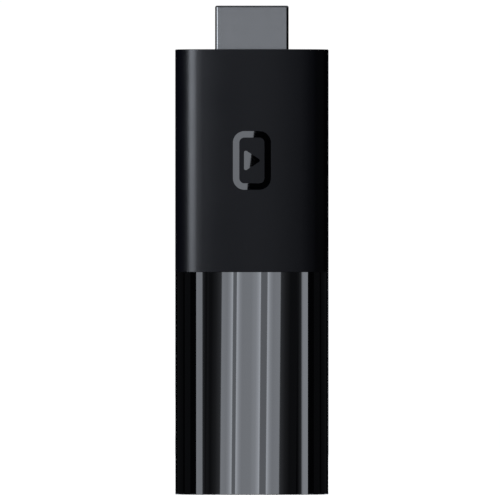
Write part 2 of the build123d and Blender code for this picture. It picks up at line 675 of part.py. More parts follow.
def power_inductors():
    """One moulded inductor beside each regulator, and one at the input."""
    bodies = [on_board(side, x, z, *INDUCTOR_SIZE) for side, x, z in INDUCTOR_PLACES]
    return joined(fillet(body.edges().filter_by(Axis.Y), INDUCTOR_CORNER) for body in bodies)


def ceramic_capacitors():
    """Rows of capacitors round the chips and at the power input."""
    return two_terminal_rows(CAPACITOR_ROWS)


def chip_resistors():
    """Rows of resistors beside the processor, the storage chip and the plug."""
    return two_terminal_rows(RESISTOR_ROWS)


def crystals():
    """Timing crystals of the processor and of the wireless module."""
    bodies = [on_board(side, x, z, *size) for side, x, z, size in (PROCESSOR_CRYSTAL, WIRELESS_CRYSTAL)]
    return joined(fillet(body.edges().filter_by(Axis.Y), CRYSTAL_CORNER) for body in bodies)


def surge_protectors():
    """Four small arrays between the plug's tails and the shields."""
    return joined(on_board(side, x, PROTECTOR_Z, *PROTECTOR_SIZE)
                  for side in (FRONT, BACK) for x in (-PROTECTOR_X, PROTECTOR_X))


def wireless_module():
    """Substrate of the wireless module."""
    return on_board(FRONT, *WIRELESS_PLACE, *WIRELESS_SIZE)


def wireless_module_can():
    """Metal can over the wireless module."""
    width, length, height = WIRELESS_CAN_SIZE
    base = WIRELESS_SIZE[2]
    can = on_board(FRONT, *WIRELESS_PLACE, width, length, height, base=base)
    can = fillet(can.edges().filter_by(Axis.Y), WIRELESS_CAN_CORNER)
    walls = 2 * WIRELESS_CAN_SHEET
    return can - on_board(FRONT, *WIRELESS_PLACE, width - walls, length - walls,
                          height - WIRELESS_CAN_SHEET, base=base)


def antenna(side, x):
    """Stamped antenna: a raised strip on two folded legs."""
    end = x - ANTENNA_LENGTH / 2
    edge = ANTENNA_Z - ANTENNA_DEPTH / 2
    strip = on_board(side, x, ANTENNA_Z, ANTENNA_LENGTH, ANTENNA_DEPTH, ANTENNA_SHEET,
                     base=ANTENNA_HEIGHT - ANTENNA_SHEET)
    feed = on_board(side, end + ANTENNA_SHEET / 2, ANTENNA_Z, ANTENNA_SHEET, ANTENNA_FEED_DEPTH,
                    ANTENNA_HEIGHT)
    ground = on_board(side, end + ANTENNA_GROUND_SHIFT, edge + ANTENNA_SHEET / 2, ANTENNA_GROUND_WIDTH,
                      ANTENNA_SHEET, ANTENNA_HEIGHT)
    return strip + feed + ground


def indicator_led():
    """Side-firing lamp at the board's left edge, facing the light pipe."""
    body = on_board(FRONT, LAMP_X, LIGHT_PIPE_Z, *LAMP_SIZE)
    window = Plane((LAMP_X - LAMP_SIZE[0] / 2, LIGHT_PIPE_Y, LIGHT_PIPE_Z), x_dir=(0, 0, 1),
                   z_dir=(-1, 0, 0)) * RectangleRounded(*LAMP_WINDOW, LAMP_WINDOW_CORNER)
    return body - extrude(window, amount=-LAMP_WINDOW_DEPTH)


def shield_fence(side, area):
    """Soldered wall round a shielded area, with a narrow flange turned inwards at its top."""
    height = SHIELD_HEIGHT - SHIELD_SHEET - LID_CLEARANCE
    width = area["x"][1] - area["x"][0]
    length = area["z"][1] - area["z"][0]
    x = sum(area["x"]) / 2
    z = sum(area["z"]) / 2
    wall = on_board(side, x, z, width, length, height)
    inside = on_board(side, x, z, width - 2 * SHIELD_SHEET, length - 2 * SHIELD_SHEET,
                      height - SHIELD_SHEET)
    window = on_board(side, x, z, width - 2 * FENCE_FLANGE, length - 2 * FENCE_FLANGE, height)
    return wall - inside - window


def shield_lid(side, area):
    """Snap-on lid whose skirt hangs outside the fence."""
    grow = 2 * (SHIELD_SHEET + LID_CLEARANCE)
    width = area["x"][1] - area["x"][0] + grow
    length = area["z"][1] - area["z"][0] + grow
    x = sum(area["x"]) / 2
    z = sum(area["z"]) / 2
    base = SHIELD_HEIGHT - LID_SKIRT
    cap = on_board(side, x, z, width, length, LID_SKIRT, base=base)
    cap = fillet(cap.edges().filter_by(Axis.Y), SHIELD_SHEET)
    return cap - on_board(side, x, z, width - 2 * SHIELD_SHEET, length - 2 * SHIELD_SHEET,
                          LID_SKIRT - SHIELD_SHEET, base=base)


def processor_thermal_pad():
    """Soft pad from the processor to the front lid."""
    base = PROCESSOR_SIZE[2]
    return on_board(FRONT, *PROCESSOR_PLACE, *PROCESSOR_PAD, SHIELD_HEIGHT - SHIELD_SHEET - base,
                    base=base)


def storage_thermal_pad():
    """Soft pad from the storage chip to the rear lid."""
    base = STORAGE_SIZE[2]
    return on_board(BACK, *STORAGE_PLACE, *STORAGE_PAD, SHIELD_HEIGHT - SHIELD_SHEET - base, base=base)


def spreader_pad(side, area):
    """Soft pad from a shield lid to its heat spreader."""
    height = SPREADER_Y - BOARD_FACE_Y - SHIELD_HEIGHT
    x = sum(area["x"]) / 2
    z = sum(area["z"]) / 2
    length = area["z"][1] - area["z"][0] - 2 * SPREADER_PAD_MARGIN
    return on_board(side, x, z, SPREADER_PAD_WIDTH, length, height, base=SHIELD_HEIGHT)


def heat_spreader(side):
    """Aluminium plate over the board, located on the carrier's stakes."""
    middle_z = (SPREADER_LOW_Z + SPREADER_HIGH_Z) / 2
    start = Plane((0, side * SPREADER_Y, middle_z), x_dir=(1, 0, 0), z_dir=(0, side, 0))
    outline = RectangleRounded(2 * SPREADER_HALF_WIDTH, SPREADER_HIGH_Z - SPREADER_LOW_Z, SPREADER_CORNER)
    plate = extrude(start * outline, amount=SPREADER_SHEET)
    holes = stakes(STAKE_RADIUS + STAKE_HOLE_CLEARANCE, SPREADER_Y + 2 * SPREADER_SHEET)
    return plate - joined(holes)


NODES = {
    "upper_sleeve": upper_sleeve,
    "lower_sleeve": lower_sleeve,
    "emblem_outline": lambda: emblem_piece(emblem_outline_face()),
    "emblem_arrow": lambda: emblem_piece(emblem_arrow_face()),
    "plug_shell": plug_shell,
    "plug_core": plug_core,
    "plug_front_carrier": lambda: plug_contact_carrier(FRONT),
    "plug_back_carrier": lambda: plug_contact_carrier(BACK),
    "plug_front_contacts": lambda: plug_contacts(FRONT),
    "plug_back_contacts": lambda: plug_contacts(BACK),
    "plug_rear_cover": plug_rear_cover,
    "socket_shell": socket_shell,
    "socket_housing": socket_housing,
    "socket_contacts": socket_contacts,
    "light_pipe": light_pipe,
    "indicator_led": indicator_led,
    "carrier_frame": carrier_frame,
    "main_board": main_board,
    "main_processor": main_processor,
    "memory_chips": memory_chips,
    "storage_chip": storage_chip,
    "power_regulators": power_regulators,
    "power_inductors": power_inductors,
    "ceramic_capacitors": ceramic_capacitors,
    "chip_resistors": chip_resistors,
    "crystals": crystals,
    "surge_protectors": surge_protectors,
    "wireless_module": wireless_module,
    "wireless_module_can": wireless_module_can,
    "wifi_antenna": lambda: antenna(FRONT, ANTENNA_X),
    "bluetooth_antenna": lambda: antenna(BACK, ANTENNA_X),
    "front_shield_fence": lambda: shield_fence(FRONT, FRONT_SHIELD),
    "front_shield_lid": lambda: shield_lid(FRONT, FRONT_SHIELD),
    "rear_shield_fence": lambda: shield_fence(BACK, REAR_SHIELD),
    "rear_shield_lid": lambda: shield_lid(BACK, REAR_SHIELD),
    "processor_thermal_pad": processor_thermal_pad,
    "storage_thermal_pad": storage_thermal_pad,
    "front_spreader_pad": lambda: spreader_pad(FRONT, FRONT_SHIELD),
    "rear_spreader_pad": lambda: spreader_pad(BACK, REAR_SHIELD),
    "front_heat_spreader": lambda: heat_spreader(FRONT),
    "rear_heat_spreader": lambda: heat_spreader(BACK),
}

os.makedirs("parts", exist_ok=True)
for node, make in NODES.items():
    export_step(make(), f"parts/{node}.step")
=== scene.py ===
from math import acos, asin, atan2, cos, pi, radians, sin, sqrt, tan

import bmesh
import bpy
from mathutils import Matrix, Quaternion, Vector

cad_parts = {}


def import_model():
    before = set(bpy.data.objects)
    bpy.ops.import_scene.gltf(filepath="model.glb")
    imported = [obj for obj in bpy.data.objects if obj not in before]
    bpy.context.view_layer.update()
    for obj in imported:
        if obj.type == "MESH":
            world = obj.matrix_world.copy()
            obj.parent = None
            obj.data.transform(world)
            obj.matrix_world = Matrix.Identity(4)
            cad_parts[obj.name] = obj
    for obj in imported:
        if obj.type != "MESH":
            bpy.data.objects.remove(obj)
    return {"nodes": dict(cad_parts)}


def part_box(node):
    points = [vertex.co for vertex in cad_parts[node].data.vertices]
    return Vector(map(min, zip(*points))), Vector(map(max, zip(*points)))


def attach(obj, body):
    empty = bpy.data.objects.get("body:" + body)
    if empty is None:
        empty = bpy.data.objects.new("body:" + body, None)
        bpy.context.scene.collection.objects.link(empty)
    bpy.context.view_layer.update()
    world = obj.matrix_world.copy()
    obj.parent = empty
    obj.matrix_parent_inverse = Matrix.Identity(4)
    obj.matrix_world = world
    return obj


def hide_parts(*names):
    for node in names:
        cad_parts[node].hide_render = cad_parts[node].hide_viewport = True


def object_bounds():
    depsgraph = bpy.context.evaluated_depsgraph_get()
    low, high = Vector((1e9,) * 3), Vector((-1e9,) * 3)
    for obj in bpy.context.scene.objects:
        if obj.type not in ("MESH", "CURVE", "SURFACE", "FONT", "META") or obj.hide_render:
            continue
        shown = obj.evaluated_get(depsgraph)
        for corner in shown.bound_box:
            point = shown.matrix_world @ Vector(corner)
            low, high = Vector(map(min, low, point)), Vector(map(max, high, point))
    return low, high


# Looks of the streaming media player: finer meshes for the curved pieces that show, a procedural
# material for every slot, soft studio panels, a white floor and the camera. Lengths are in metres.

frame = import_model()
CAD_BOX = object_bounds()
MM = 0.001

# Body, from the frame's boxes and the section's own radii
HALF_WIDTH = -CAD_BOX[0].x
HALF_THICKNESS = -CAD_BOX[0].y
SEAM_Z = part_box("upper_sleeve")[0].z
BODY_TOP_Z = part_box("upper_sleeve")[1].z
LIP_TOP_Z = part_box("lower_sleeve")[1].z
FACE_RADIUS = 60 * MM
SIDE_RADIUS = 40 * MM
CORNER_RADIUS = 5.2 * MM
BLEND_RADIUS = 18 * MM
BLEND_X = 9.3 * MM
FACE_STEPS = 24
BLEND_STEPS = 6
CORNER_STEPS = 20
SIDE_STEPS = 6
WALL = 1.5 * MM
END_WALL = 1.6 * MM
END_EDGE_RADIUS = 0.15 * MM
SEAM_CHAMFER = 0.03 * MM
LIP_INSET = 0.85 * MM
LIP_CLEARANCE = 0.05 * MM
RIDGE_PROUD = 0.3 * MM
RIDGE_CLEARANCE = 0.1 * MM
RIDGE_HALF_WIDTH = 2.5 * MM
RIDGE_HEIGHT = 0.8 * MM
RIDGE_X = 6 * MM
RIDGE_RISE = 1.2 * MM
RIB_X = 7.5 * MM
RIB_HALF_WIDTH = 0.7 * MM
RIB_HALF_DEPTH = 2.2 * MM
RIB_RISE = 1.2 * MM

# Emblem: an upright outline with a play arrow, let into the front face
EMBLEM_LOW, EMBLEM_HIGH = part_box("emblem_outline")
EMBLEM_Z = (EMBLEM_LOW.z + EMBLEM_HIGH.z) / 2
EMBLEM_WIDTH = EMBLEM_HIGH.x - EMBLEM_LOW.x
EMBLEM_HEIGHT = EMBLEM_HIGH.z - EMBLEM_LOW.z
EMBLEM_CORNER = 2.2 * MM
EMBLEM_STROKE = 1.25 * MM
EMBLEM_DEPTH = 0.3 * MM
EMBLEM_GAP = 0.02 * MM
ARROW_HEIGHT = 4.3 * MM
ARROW_WIDTH = 3.3 * MM
ARROW_CORNER = 0.35 * MM
ARROW_SHIFT = 0.15 * MM

# Video plug
PLUG_LOW, PLUG_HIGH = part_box("plug_shell")
PLUG_HALF_WIDTH = PLUG_HIGH.x
PLUG_HALF_THICKNESS = PLUG_HIGH.y
PLUG_NARROW_HALF = 5.45 * MM
PLUG_SHOULDER_Y = 0.45 * MM
PLUG_CORNER_RADIUS = 0.5 * MM
PLUG_SHEET = 0.35 * MM
PLUG_RIM_RADIUS = 0.34 * MM
PLUG_INNER_CHAMFER = 0.04 * MM
PLUG_CLEARANCE = 0.12 * MM
PLUG_FOLD_HALF = 0.06 * MM
PLUG_FOLD_DEPTH = 0.15 * MM

# Power socket and indicator, in the left side
SOCKET_LOW, SOCKET_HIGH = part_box("socket_shell")
SOCKET_Z = (SOCKET_LOW.z + SOCKET_HIGH.z) / 2
SOCKET_HALF_LENGTH = 3.75 * MM
SOCKET_NARROW_HALF = 2.85 * MM
SOCKET_HALF_HEIGHT = SOCKET_HIGH.y
SOCKET_SHOULDER_Y = 0.25 * MM
SOCKET_CORNER_RADIUS = 0.35 * MM
SOCKET_SHEET = 0.25 * MM
SOCKET_RIM_RADIUS = 0.09 * MM
SOCKET_WING_X = -11.1 * MM
SOCKET_WING_HALF = 0.7 * MM
SOCKET_WING_OVERLAP = 0.1 * MM
BOARD_FACE_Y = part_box("main_board")[0].y
APERTURE_LENGTH = 7.9 * MM
APERTURE_HEIGHT = 3.0 * MM
APERTURE_CORNER = 1.3 * MM
APERTURE_BEVEL = 0.12 * MM
SLIDE_GROOVE_HALF = 1.4 * MM
PIPE_LOW, PIPE_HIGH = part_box("light_pipe")
PIPE_Z = (PIPE_LOW.z + PIPE_HIGH.z) / 2
PIPE_Y = (PIPE_LOW.y + PIPE_HIGH.y) / 2
PIPE_RADIUS = 0.5 * MM
PIPE_GAP = 0.02 * MM
PIPE_FLANGE = 0.4 * MM
PIPE_DOME_SHARES = (0.15, 0.45, 0.75, 0.92)
PIPE_DOME_DEPTH = 0.06 * MM
PIPE_EDGE_DEPTH = 0.17 * MM

# Smoothness and shading of the meshes
ARC_STEPS = 8
FINE_ARC_STEPS = 12
EDGE_STEPS = 6
PLUG_RIM_STEPS = 8
SOCKET_RIM_STEPS = 4
CIRCLE_STEPS = 32
MERGE_DISTANCE = 0.0005 * MM
SHARP_ANGLE = radians(32)
AREA_WEIGHT = 100
UPRIGHT_NORMAL_Z = 0.001
SAME_DIRECTION = 0.995
FAR = 30 * MM

# Finishes: linear colours, roughness from 0 to 1, sizes and depths of grain in metres
NOISE_LOW, NOISE_HIGH = 0.3, 0.7
MATTE_COLOR = (0.0012, 0.0013, 0.0029)
MATTE_SHADES = ((0.001, 0.0011, 0.0026), (0.0014, 0.0015, 0.0032))
MATTE_ROUGHNESS = 0.325
MATTE_SHEEN = (0.315, 0.335)
MATTE_END_DULLNESS = 0.45
MATTE_GRAIN = 0.16 * MM
MATTE_GRAIN_DEPTH = 0.004 * MM
MATTE_CLOUDS = 6 * MM
GLOSS_COLOR = (0.0005, 0.0005, 0.0006)
GLOSS_ROUGHNESS = {"gloss_shell": 0.02, "emblem_gloss": 0.03}
GLOSS_UNEVENNESS = (0.85, 1.2)
GLOSS_PEEL = 2.4 * MM
GLOSS_PEEL_DEPTH = 0.00025 * MM
GLOSS_POLISH = 5 * MM
PLUG_COLOR = (0.5, 0.5, 0.5)
PLUG_SHADES = ((0.49, 0.49, 0.49), (0.51, 0.51, 0.51))
PLUG_ROUGHNESS = 0.13
PLUG_SHEEN = (0.11, 0.15)
PLUG_LINES = 0.05 * MM
PLUG_LINE_STRETCH = (1, 1, 40)
PLUG_LINE_DEPTH = 0.0002 * MM
PLUG_SPOTS = 1.6 * MM
METAL_STAINS = 3 * MM
METAL_STAIN_SHADE = 0.9
METAL_UNEVENNESS = (0.8, 1.25)
METAL_GRAIN_DEPTH = 0.001 * MM
MOULDED_CLOUDS = 4 * MM
MOULDED_CLOUD_SHADE = 0.82
MOULDED_UNEVENNESS = (0.88, 1.12)
MASK_COLOR = (0.006, 0.03, 0.014)
MASK_SHADES = ((0.005, 0.026, 0.012), (0.009, 0.045, 0.02))
MASK_ROUGHNESS = 0.32
MASK_SHEEN = (0.27, 0.38)
MASK_CLOUDS = 1.5 * MM
WEAVE_SIZE = 0.25 * MM
WEAVE_STRETCHES = ((1, 1, 8), (8, 1, 1))
WEAVE_RANGE = (0.15, 0.4)
WEAVE_DEPTH = 0.004 * MM
CLEAR_COLOR = (0.8, 0.82, 0.84)
CLEAR_ROUGHNESS = 0.22
CLEAR_SHEEN = (0.16, 0.3)
CLEAR_IOR = 1.49
CLEAR_TRANSMISSION = 0.75
CLEAR_HAZE = 0.2 * MM
CLEAR_HAZE_DEPTH = 0.002 * MM
FLOOR_COLOR = (0.92, 0.92, 0.92)
FLOOR_ROUGHNESS = 0.6
FLOOR_SHEEN = (0.55, 0.65)
FLOOR_GRAIN = 0.8 * MM

# Metals by slot: colour, roughness, size of the rolled grain and its stretch along each axis
METALS = {
    "socket_steel": ((0.58, 0.58, 0.59), 0.28, 0.06 * MM, (30, 1, 1)),
    "shield_steel": ((0.62, 0.61, 0.58), 0.32, 0.08 * MM, (1, 1, 20)),
    "contact_gold": ((0.92, 0.68, 0.3), 0.22, 0.05 * MM, (1, 1, 20)),
    "spreader_aluminium": ((0.72, 0.73, 0.74), 0.38, 0.1 * MM, (1, 1, 30)),
}

# Moulded materials by slot: colour, roughness, size of the grain and its depth
MOULDINGS = {
    "connector_plastic": ((0.012, 0.012, 0.013), 0.45, 0.12 * MM, 0.004 * MM),
    "carrier_plastic": ((0.02, 0.02, 0.022), 0.5, 0.2 * MM, 0.006 * MM),
    "chip_mould": ((0.014, 0.014, 0.015), 0.55, 0.06 * MM, 0.004 * MM),
    "ceramic": ((0.34, 0.26, 0.17), 0.4, 0.05 * MM, 0.003 * MM),
    "lamp_package": ((0.75, 0.74, 0.7), 0.35, 0.08 * MM, 0.002 * MM),
    "thermal_pad": ((0.3, 0.36, 0.42), 0.8, 0.15 * MM, 0.012 * MM),
}

# Light: azimuths in degrees, 0 in front and 90 to the right; levels are (share of a width, brightness)
LIGHT_COLOR = (0.944, 1.0, 1.1)
STUDIO_Z = 0.046
RAMP_TOP = 2.5

# Front softbox of the gloss half: places are x on the face, glows are (millimetres from an edge, brightness)
SOFTBOX_DISTANCE = 0.3
SOFTBOX_Z = 0.02
SOFTBOX_WIDTH = 0.19
SOFTBOX_HEIGHT = 1.0
SOFTBOX_RADIANCE = 3.85
SOFTBOX_LEAN = radians(5.1)
FIELD_LEFT = -5.84 * MM
FIELD_RIGHT = 5.32 * MM
FIELD_EDGE_LEVEL = 1.1
FIELD_EDGE_WIDTH = 0.05 * MM
FLAG_LEVEL = 0.6
FLAG_EDGE_WIDTH = 0.04 * MM
SKIRT = ((1.9, 0.02), (1.0, 0.06), (0.4, 0.12), (0.05, 0.17))
SHORT_GLOW = ((1.1, 1.02), (0.65, 1.25), (0.32, 1.65), (0.03, 2.15))
LONG_GLOW = ((1.8, 1.04), (1.3, 1.19), (0.85, 1.26), (0.35, 1.65), (0.03, 2.15))
FLAGS = ((-3.7 * MM, -2.98 * MM, SHORT_GLOW), (1.56 * MM, 2.84 * MM, LONG_GLOW))

# Gloss half. Strips: name, azimuths, radiance, levels. Panels: name, azimuths, radiance
STRIP_DISTANCE = 0.5
GLOSS_DISTANCE = 0.8
GLOSS_PANEL_HEIGHT = 1.2
GLOSS_STRIPS = (
    ("left_strip", -28.7, -16.4, 4.1,
     ((0, 0.02), (0.05, 1), (0.77, 0.93), (0.8, 0.14), (0.85, 0.055), (0.9, 0.02), (1, 0.01))),
    ("right_strip", 16.1, 29.7, 4.4,
     ((0.08, 0), (0.14, 0.04), (0.215, 0.13), (0.26, 0.75), (0.32, 0.92), (0.42, 1.1), (1, 1.12))),
)
GLOSS_PANELS = (
    ("gloss_left", -82, -54, 0.06),
    ("gloss_left_rim", -135, -90, 0.035),
    ("gloss_right", 56, 86, 0.05),
    ("gloss_right_rim", 94, 135, 0.04),
    ("gloss_back", 168, 192, 0.08),
    ("gloss_back_left", 194.5, 197, 0.8),
    ("gloss_back_right", 163, 165.5, 0.8),
)

# Matte half. Panels: name, azimuths, radiance
MATTE_KEY_AZIMUTHS = (-60, -24)
MATTE_KEY_DISTANCE = 0.36
MATTE_KEY_HEIGHT = 0.6
MATTE_KEY_Z = 0.335
MATTE_KEY_RADIANCE = 7.0
MATTE_KEY_LEVELS = ((0, 0.8), (0.15, 1.05), (0.3, 1.0), (0.5, 0.7), (0.72, 0.8), (0.8, 0.35), (0.9, 0.1),
                    (1, 0))
MATTE_DISTANCE = 0.7
MATTE_PANEL_HEIGHT = 0.8
MATTE_PANELS = (
    ("matte_fill", -7, 15, 0.38),
    ("matte_right", 20, 60, 0.05),
    ("matte_side", 70, 110, 0.03),
    ("matte_back", 165, 195, 0.25),
)

# Video plug. Panels: name, azimuths, height, radiance, height of the middle
PLUG_DISTANCE = 0.5
PLUG_PANELS = (
    ("plug_front", -3, 18, 0.17, 0.333, 0.048),
    ("plug_left", -24, -6, 0.13, 2.45, 0.088),
    ("plug_far_left", -70, -26, 0.6, 0.4, 0.088),
    ("plug_back", 155, 205, 0.6, 0.4, 0.088),
)
PLUG_TOP_SIZE = (3.0, 3.0)
PLUG_TOP_RADIANCE = 0.11
PLUG_LOW_HALF = 18
PLUG_LOW_HEIGHT = 0.62
PLUG_LOW_RADIANCE = 0.7
PLUG_LOW_Z = -0.29

# Emblem, socket and the whole object
EMBLEM_CARD_X = -0.0446
EMBLEM_CARD_DISTANCE = 0.25
EMBLEM_CARD_Z = 0.107
EMBLEM_CARD_SIZE = (0.12, 0.3)
EMBLEM_CARD_RADIANCE = 3.5
EMBLEM_CARD_TURN = radians(-45)
SOCKET_AZIMUTHS = (-115, -65)
SOCKET_DISTANCE = 0.5
SOCKET_PANEL_HEIGHT = 0.8
SOCKET_RADIANCE = 1.6
TOP_Z = 0.7
TOP_SIZE = (0.4, 0.4)
TOP_RADIANCE = 2.0
BOTTOM_Z = -0.8
BOTTOM_SIZE = (1.4, 1.4)
BOTTOM_RADIANCE = 0.12

# Low panels, which upright walls mirror only when they are seen from above
LOW_DISTANCE = 0.5
LOW_HEIGHT = 0.6
LOW_FADE = 0.1
LOW_TOP = -0.012
LOW_LEVELS = ((0, 0.1), (0.25, 1), (0.75, 1), (1, 0.1))
GLOSS_LOW_AZIMUTHS = (45, 135, 180, 225, 315)
GLOSS_LOW_HALF = 13
GLOSS_LOW_RADIANCE = 2.4
GLOSS_LOW_LEVELS = ((0, 0.1), (0.1, 0.2), (0.11, 1), (0.5, 1.1), (0.52, 0.6), (0.6, 0.6), (0.62, 1.1),
                    (0.89, 1), (0.9, 0.2), (1, 0.05))
GLOSS_SIDE_AZIMUTHS = (90, 270)
GLOSS_SIDE_HALF = 5
GLOSS_SIDE_RADIANCE = 2.0
MATTE_LOW_TOP = -0.035
MATTE_LOW_HALF = 20
MATTE_LOW_RADIANCES = {45: 0.25, 135: 0.4, 180: 0.8, 225: 0.4, 315: 0.7}
EMBLEM_LOW_TOP = 0.01
EMBLEM_LOW_HALF = 24
EMBLEM_LOW_RADIANCE = 1.8
EMBLEM_LOW_AZIMUTHS = (0, 45, 315)

# Surroundings, floor and camera
WHITE_LEVEL = 1.02
FLOOR_RADIUS = 0.6
FLOOR_THICKNESS = 0.003
FLOOR_STEPS = 96
FLOOR_LAMP_Z = 1.0
FLOOR_LAMP_SIZE = (3.0, 3.0)
FLOOR_RADIANCE = 2.6
CAMERA_X = -0.354 * MM
CAMERA_DISTANCE = 3.152
CAMERA_REACH = 20
LENS = 1200
SENSOR_WIDTH = 36


# Outlines

def quarter_arcs():
    """Centre, radius, start, end and steps of the section's four arcs where x and y are positive."""
    face_centre = Vector((0, HALF_THICKNESS - FACE_RADIUS))
    side_centre = Vector((HALF_WIDTH - SIDE_RADIUS, 0))
    face_end = acos(BLEND_X / FACE_RADIUS)
    blend_centre = face_centre + (FACE_RADIUS - BLEND_RADIUS) * Vector((cos(face_end), sin(face_end)))
    to_blend = BLEND_RADIUS - CORNER_RADIUS
    to_side = SIDE_RADIUS - CORNER_RADIUS
    between = blend_centre - side_centre
    gap = between.length
    along = (to_side ** 2 - to_blend ** 2 + gap ** 2) / (2 * gap)
    across = sqrt(to_side ** 2 - along ** 2)
    unit = between / gap
    corner = side_centre + along * unit + across * Vector((-unit.y, unit.x))
    blend_end = atan2(corner.y - blend_centre.y, corner.x - blend_centre.x)
    side_end = atan2(corner.y, corner.x - side_centre.x)
    return [(side_centre, SIDE_RADIUS, 0, side_end, SIDE_STEPS),
            (corner, CORNER_RADIUS, side_end, blend_end, CORNER_STEPS),
            (blend_centre, BLEND_RADIUS, blend_end, face_end, BLEND_STEPS),
            (face_centre, FACE_RADIUS, face_end, pi / 2, FACE_STEPS)]


def oval(inset):
    """Points of the body's cross-section, moved inwards by inset, anticlockwise from the right side."""
    quarter = [(HALF_WIDTH - inset, 0)]
    for centre, radius, start, end, steps in quarter_arcs():
        for step in range(1, steps + 1):
            angle = start + (end - start) * step / steps
            quarter.append((centre[0] + (radius - inset) * cos(angle),
                            centre[1] + (radius - inset) * sin(angle)))
    back = quarter[::-1]
    points = quarter[:-1]
    points += [(-x, y) for x, y in back[:-1]]
    points += [(-x, -y) for x, y in quarter[:-1]]
    points += [(x, -y) for x, y in back[:-1]]
    return points


def oval_normal(x, y):
    """Outward normal of the cross-section at a point on it or near it."""
    for centre, radius, start, end, steps in quarter_arcs():
        angle = atan2(abs(y) - centre[1], abs(x) - centre[0])
        if angle <= end or radius == FACE_RADIUS:
            break
    sign_x = -1 if x < 0 else 1
    sign_y = -1 if y < 0 else 1
    return Vector((sign_x * cos(angle), sign_y * sin(angle), 0))


def moved_in(corners, inset):
    """Corners of a convex anticlockwise outline after each side moves inwards by inset."""
    moved = []
    count = len(corners)
    for index in range(count):
        before = Vector(corners[index - 1])
        here = Vector(corners[index])
        after = Vector(corners[(index + 1) % count])
        first = (here - before).normalized()
        second = (after - here).normalized()
        inward = Vector((-first.y, first.x)) + Vector((-second.y, second.x))
        share = inset / (1 + first.dot(second))
        moved.append(tuple(here + inward * share))
    return moved


def rounded(corners, radius, steps=ARC_STEPS):
    """Convex anticlockwise outline with an arc of the radius at each corner."""
    points = []
    count = len(corners)
    for index in range(count):
        here = Vector(corners[index])
        first = (here - Vector(corners[index - 1])).normalized()
        second = (Vector(corners[(index + 1) % count]) - here).normalized()
        turn = acos(max(-1, min(1, first.dot(second))))
        start = here - first * radius * tan(turn / 2)
        centre = start + Vector((-first.y, first.x)) * radius
        for step in range(steps + 1):
            angle = turn * step / steps
            arm = start - centre
            points.append((centre.x + arm.x * cos(angle) - arm.y * sin(angle),
                           centre.y + arm.x * sin(angle) + arm.y * cos(angle)))
    return points


def rectangle(width, height):
    """Corners of a rectangle round the origin, anticlockwise."""
    return [(-width / 2, -height / 2), (width / 2, -height / 2),
            (width / 2, height / 2), (-width / 2, height / 2)]


def six_sided(half_wide, half_narrow, half_height, shoulder):
    """Anticlockwise outline of a plug or socket: square corners below, cut corners above."""
    return [(-half_wide, -half_height), (half_wide, -half_height), (half_wide, shoulder),
            (half_narrow, half_height), (-half_narrow, half_height), (-half_wide, shoulder)]


def arc_rings(radius, steps=EDGE_STEPS):
    """Inset and drop of the points on a quarter-round edge, from the wall to the end face."""
    return [(radius - radius * cos(pi / 2 * step / steps), radius - radius * sin(pi / 2 * step / steps))
            for step in range(steps + 1)]


# Meshes

def new_piece(name, mesh):
    """Object for a mesh, in the scene."""
    piece = bpy.data.objects.new(name, mesh)
    bpy.context.scene.collection.objects.link(piece)
    return piece


def loft(name, rings, cyclic=False):
    """Solid through closed rings of equal length, capped at both ends or joined end to end."""
    build = bmesh.new()
    rows = [[build.verts.new(point) for point in ring] for ring in rings]
    pairs = list(zip(rows, rows[1:]))
    if cyclic:
        pairs.append((rows[-1], rows[0]))
    for lower, upper in pairs:
        for index in range(len(lower)):
            after = (index + 1) % len(lower)
            build.faces.new((lower[index], lower[after], upper[after], upper[index]))
    if not cyclic:
        build.faces.new(rows[0][::-1])
        build.faces.new(rows[-1])
    bmesh.ops.recalc_face_normals(build, faces=build.faces)
    mesh = bpy.data.meshes.new(name)
    build.to_mesh(mesh)
    build.free()
    return new_piece(name, mesh)


def oval_ring(inset, z):
    """Ring of the body's cross-section at a height."""
    return [(x, y, z) for x, y in oval(inset)]


def upright_ring(points, z):
    """Ring of an outline drawn in X and Y, at a height."""
    return [(x, y, z) for x, y in points]


def front_ring(points, y):
    """Ring of an outline drawn in X and Z, at a depth."""
    return [(x, y, z) for x, z in points]


def side_ring(points, x):
    """Ring of an outline drawn along Z and Y round the socket, at a distance to the side."""
    return [(x, y, SOCKET_Z + z) for z, y in points]


def box_piece(name, low, high):
    """Plain block for cutting or joining."""
    ring = [(low[0], low[1]), (high[0], low[1]), (high[0], high[1]), (low[0], high[1])]
    return loft(name, [upright_ring(ring, low[2]), upright_ring(ring, high[2])])


def oval_band(name, outer_inset, inner_inset, low_z, high_z):
    """Closed ring between two cross-sections and two heights."""
    rings = [oval_ring(outer_inset, low_z), oval_ring(outer_inset, high_z),
             oval_ring(inner_inset, high_z), oval_ring(inner_inset, low_z)]
    return loft(name, rings, cyclic=True)


def combine(piece, tool, operation):
    """Exact boolean of the piece with a tool, which is then removed."""
    modifier = piece.modifiers.new(operation, "BOOLEAN")
    modifier.operation = operation
    modifier.solver = "EXACT"
    modifier.object = tool
    graph = bpy.context.evaluated_depsgraph_get()
    mesh = bpy.data.meshes.new_from_object(piece.evaluated_get(graph))
    piece.modifiers.clear()
    old = piece.data
    piece.data = mesh
    mesh.name = piece.name
    bpy.data.meshes.remove(old)
    bpy.data.meshes.remove(tool.data)
    return piece


def clean(piece):
    """Merges coincident points, removes slivers and marks the creases."""
    build = bmesh.new()
    build.from_mesh(piece.data)
    bmesh.ops.remove_doubles(build, verts=build.verts, dist=MERGE_DISTANCE)
    bmesh.ops.dissolve_degenerate(build, edges=build.edges, dist=MERGE_DISTANCE)
    bmesh.ops.recalc_face_normals(build, faces=build.faces)
    for face in build.faces:
        face.smooth = True
    for edge in build.edges:
        edge.smooth = len(edge.link_faces) == 2 and edge.calc_face_angle(pi) < SHARP_ANGLE
    build.to_mesh(piece.data)
    build.free()


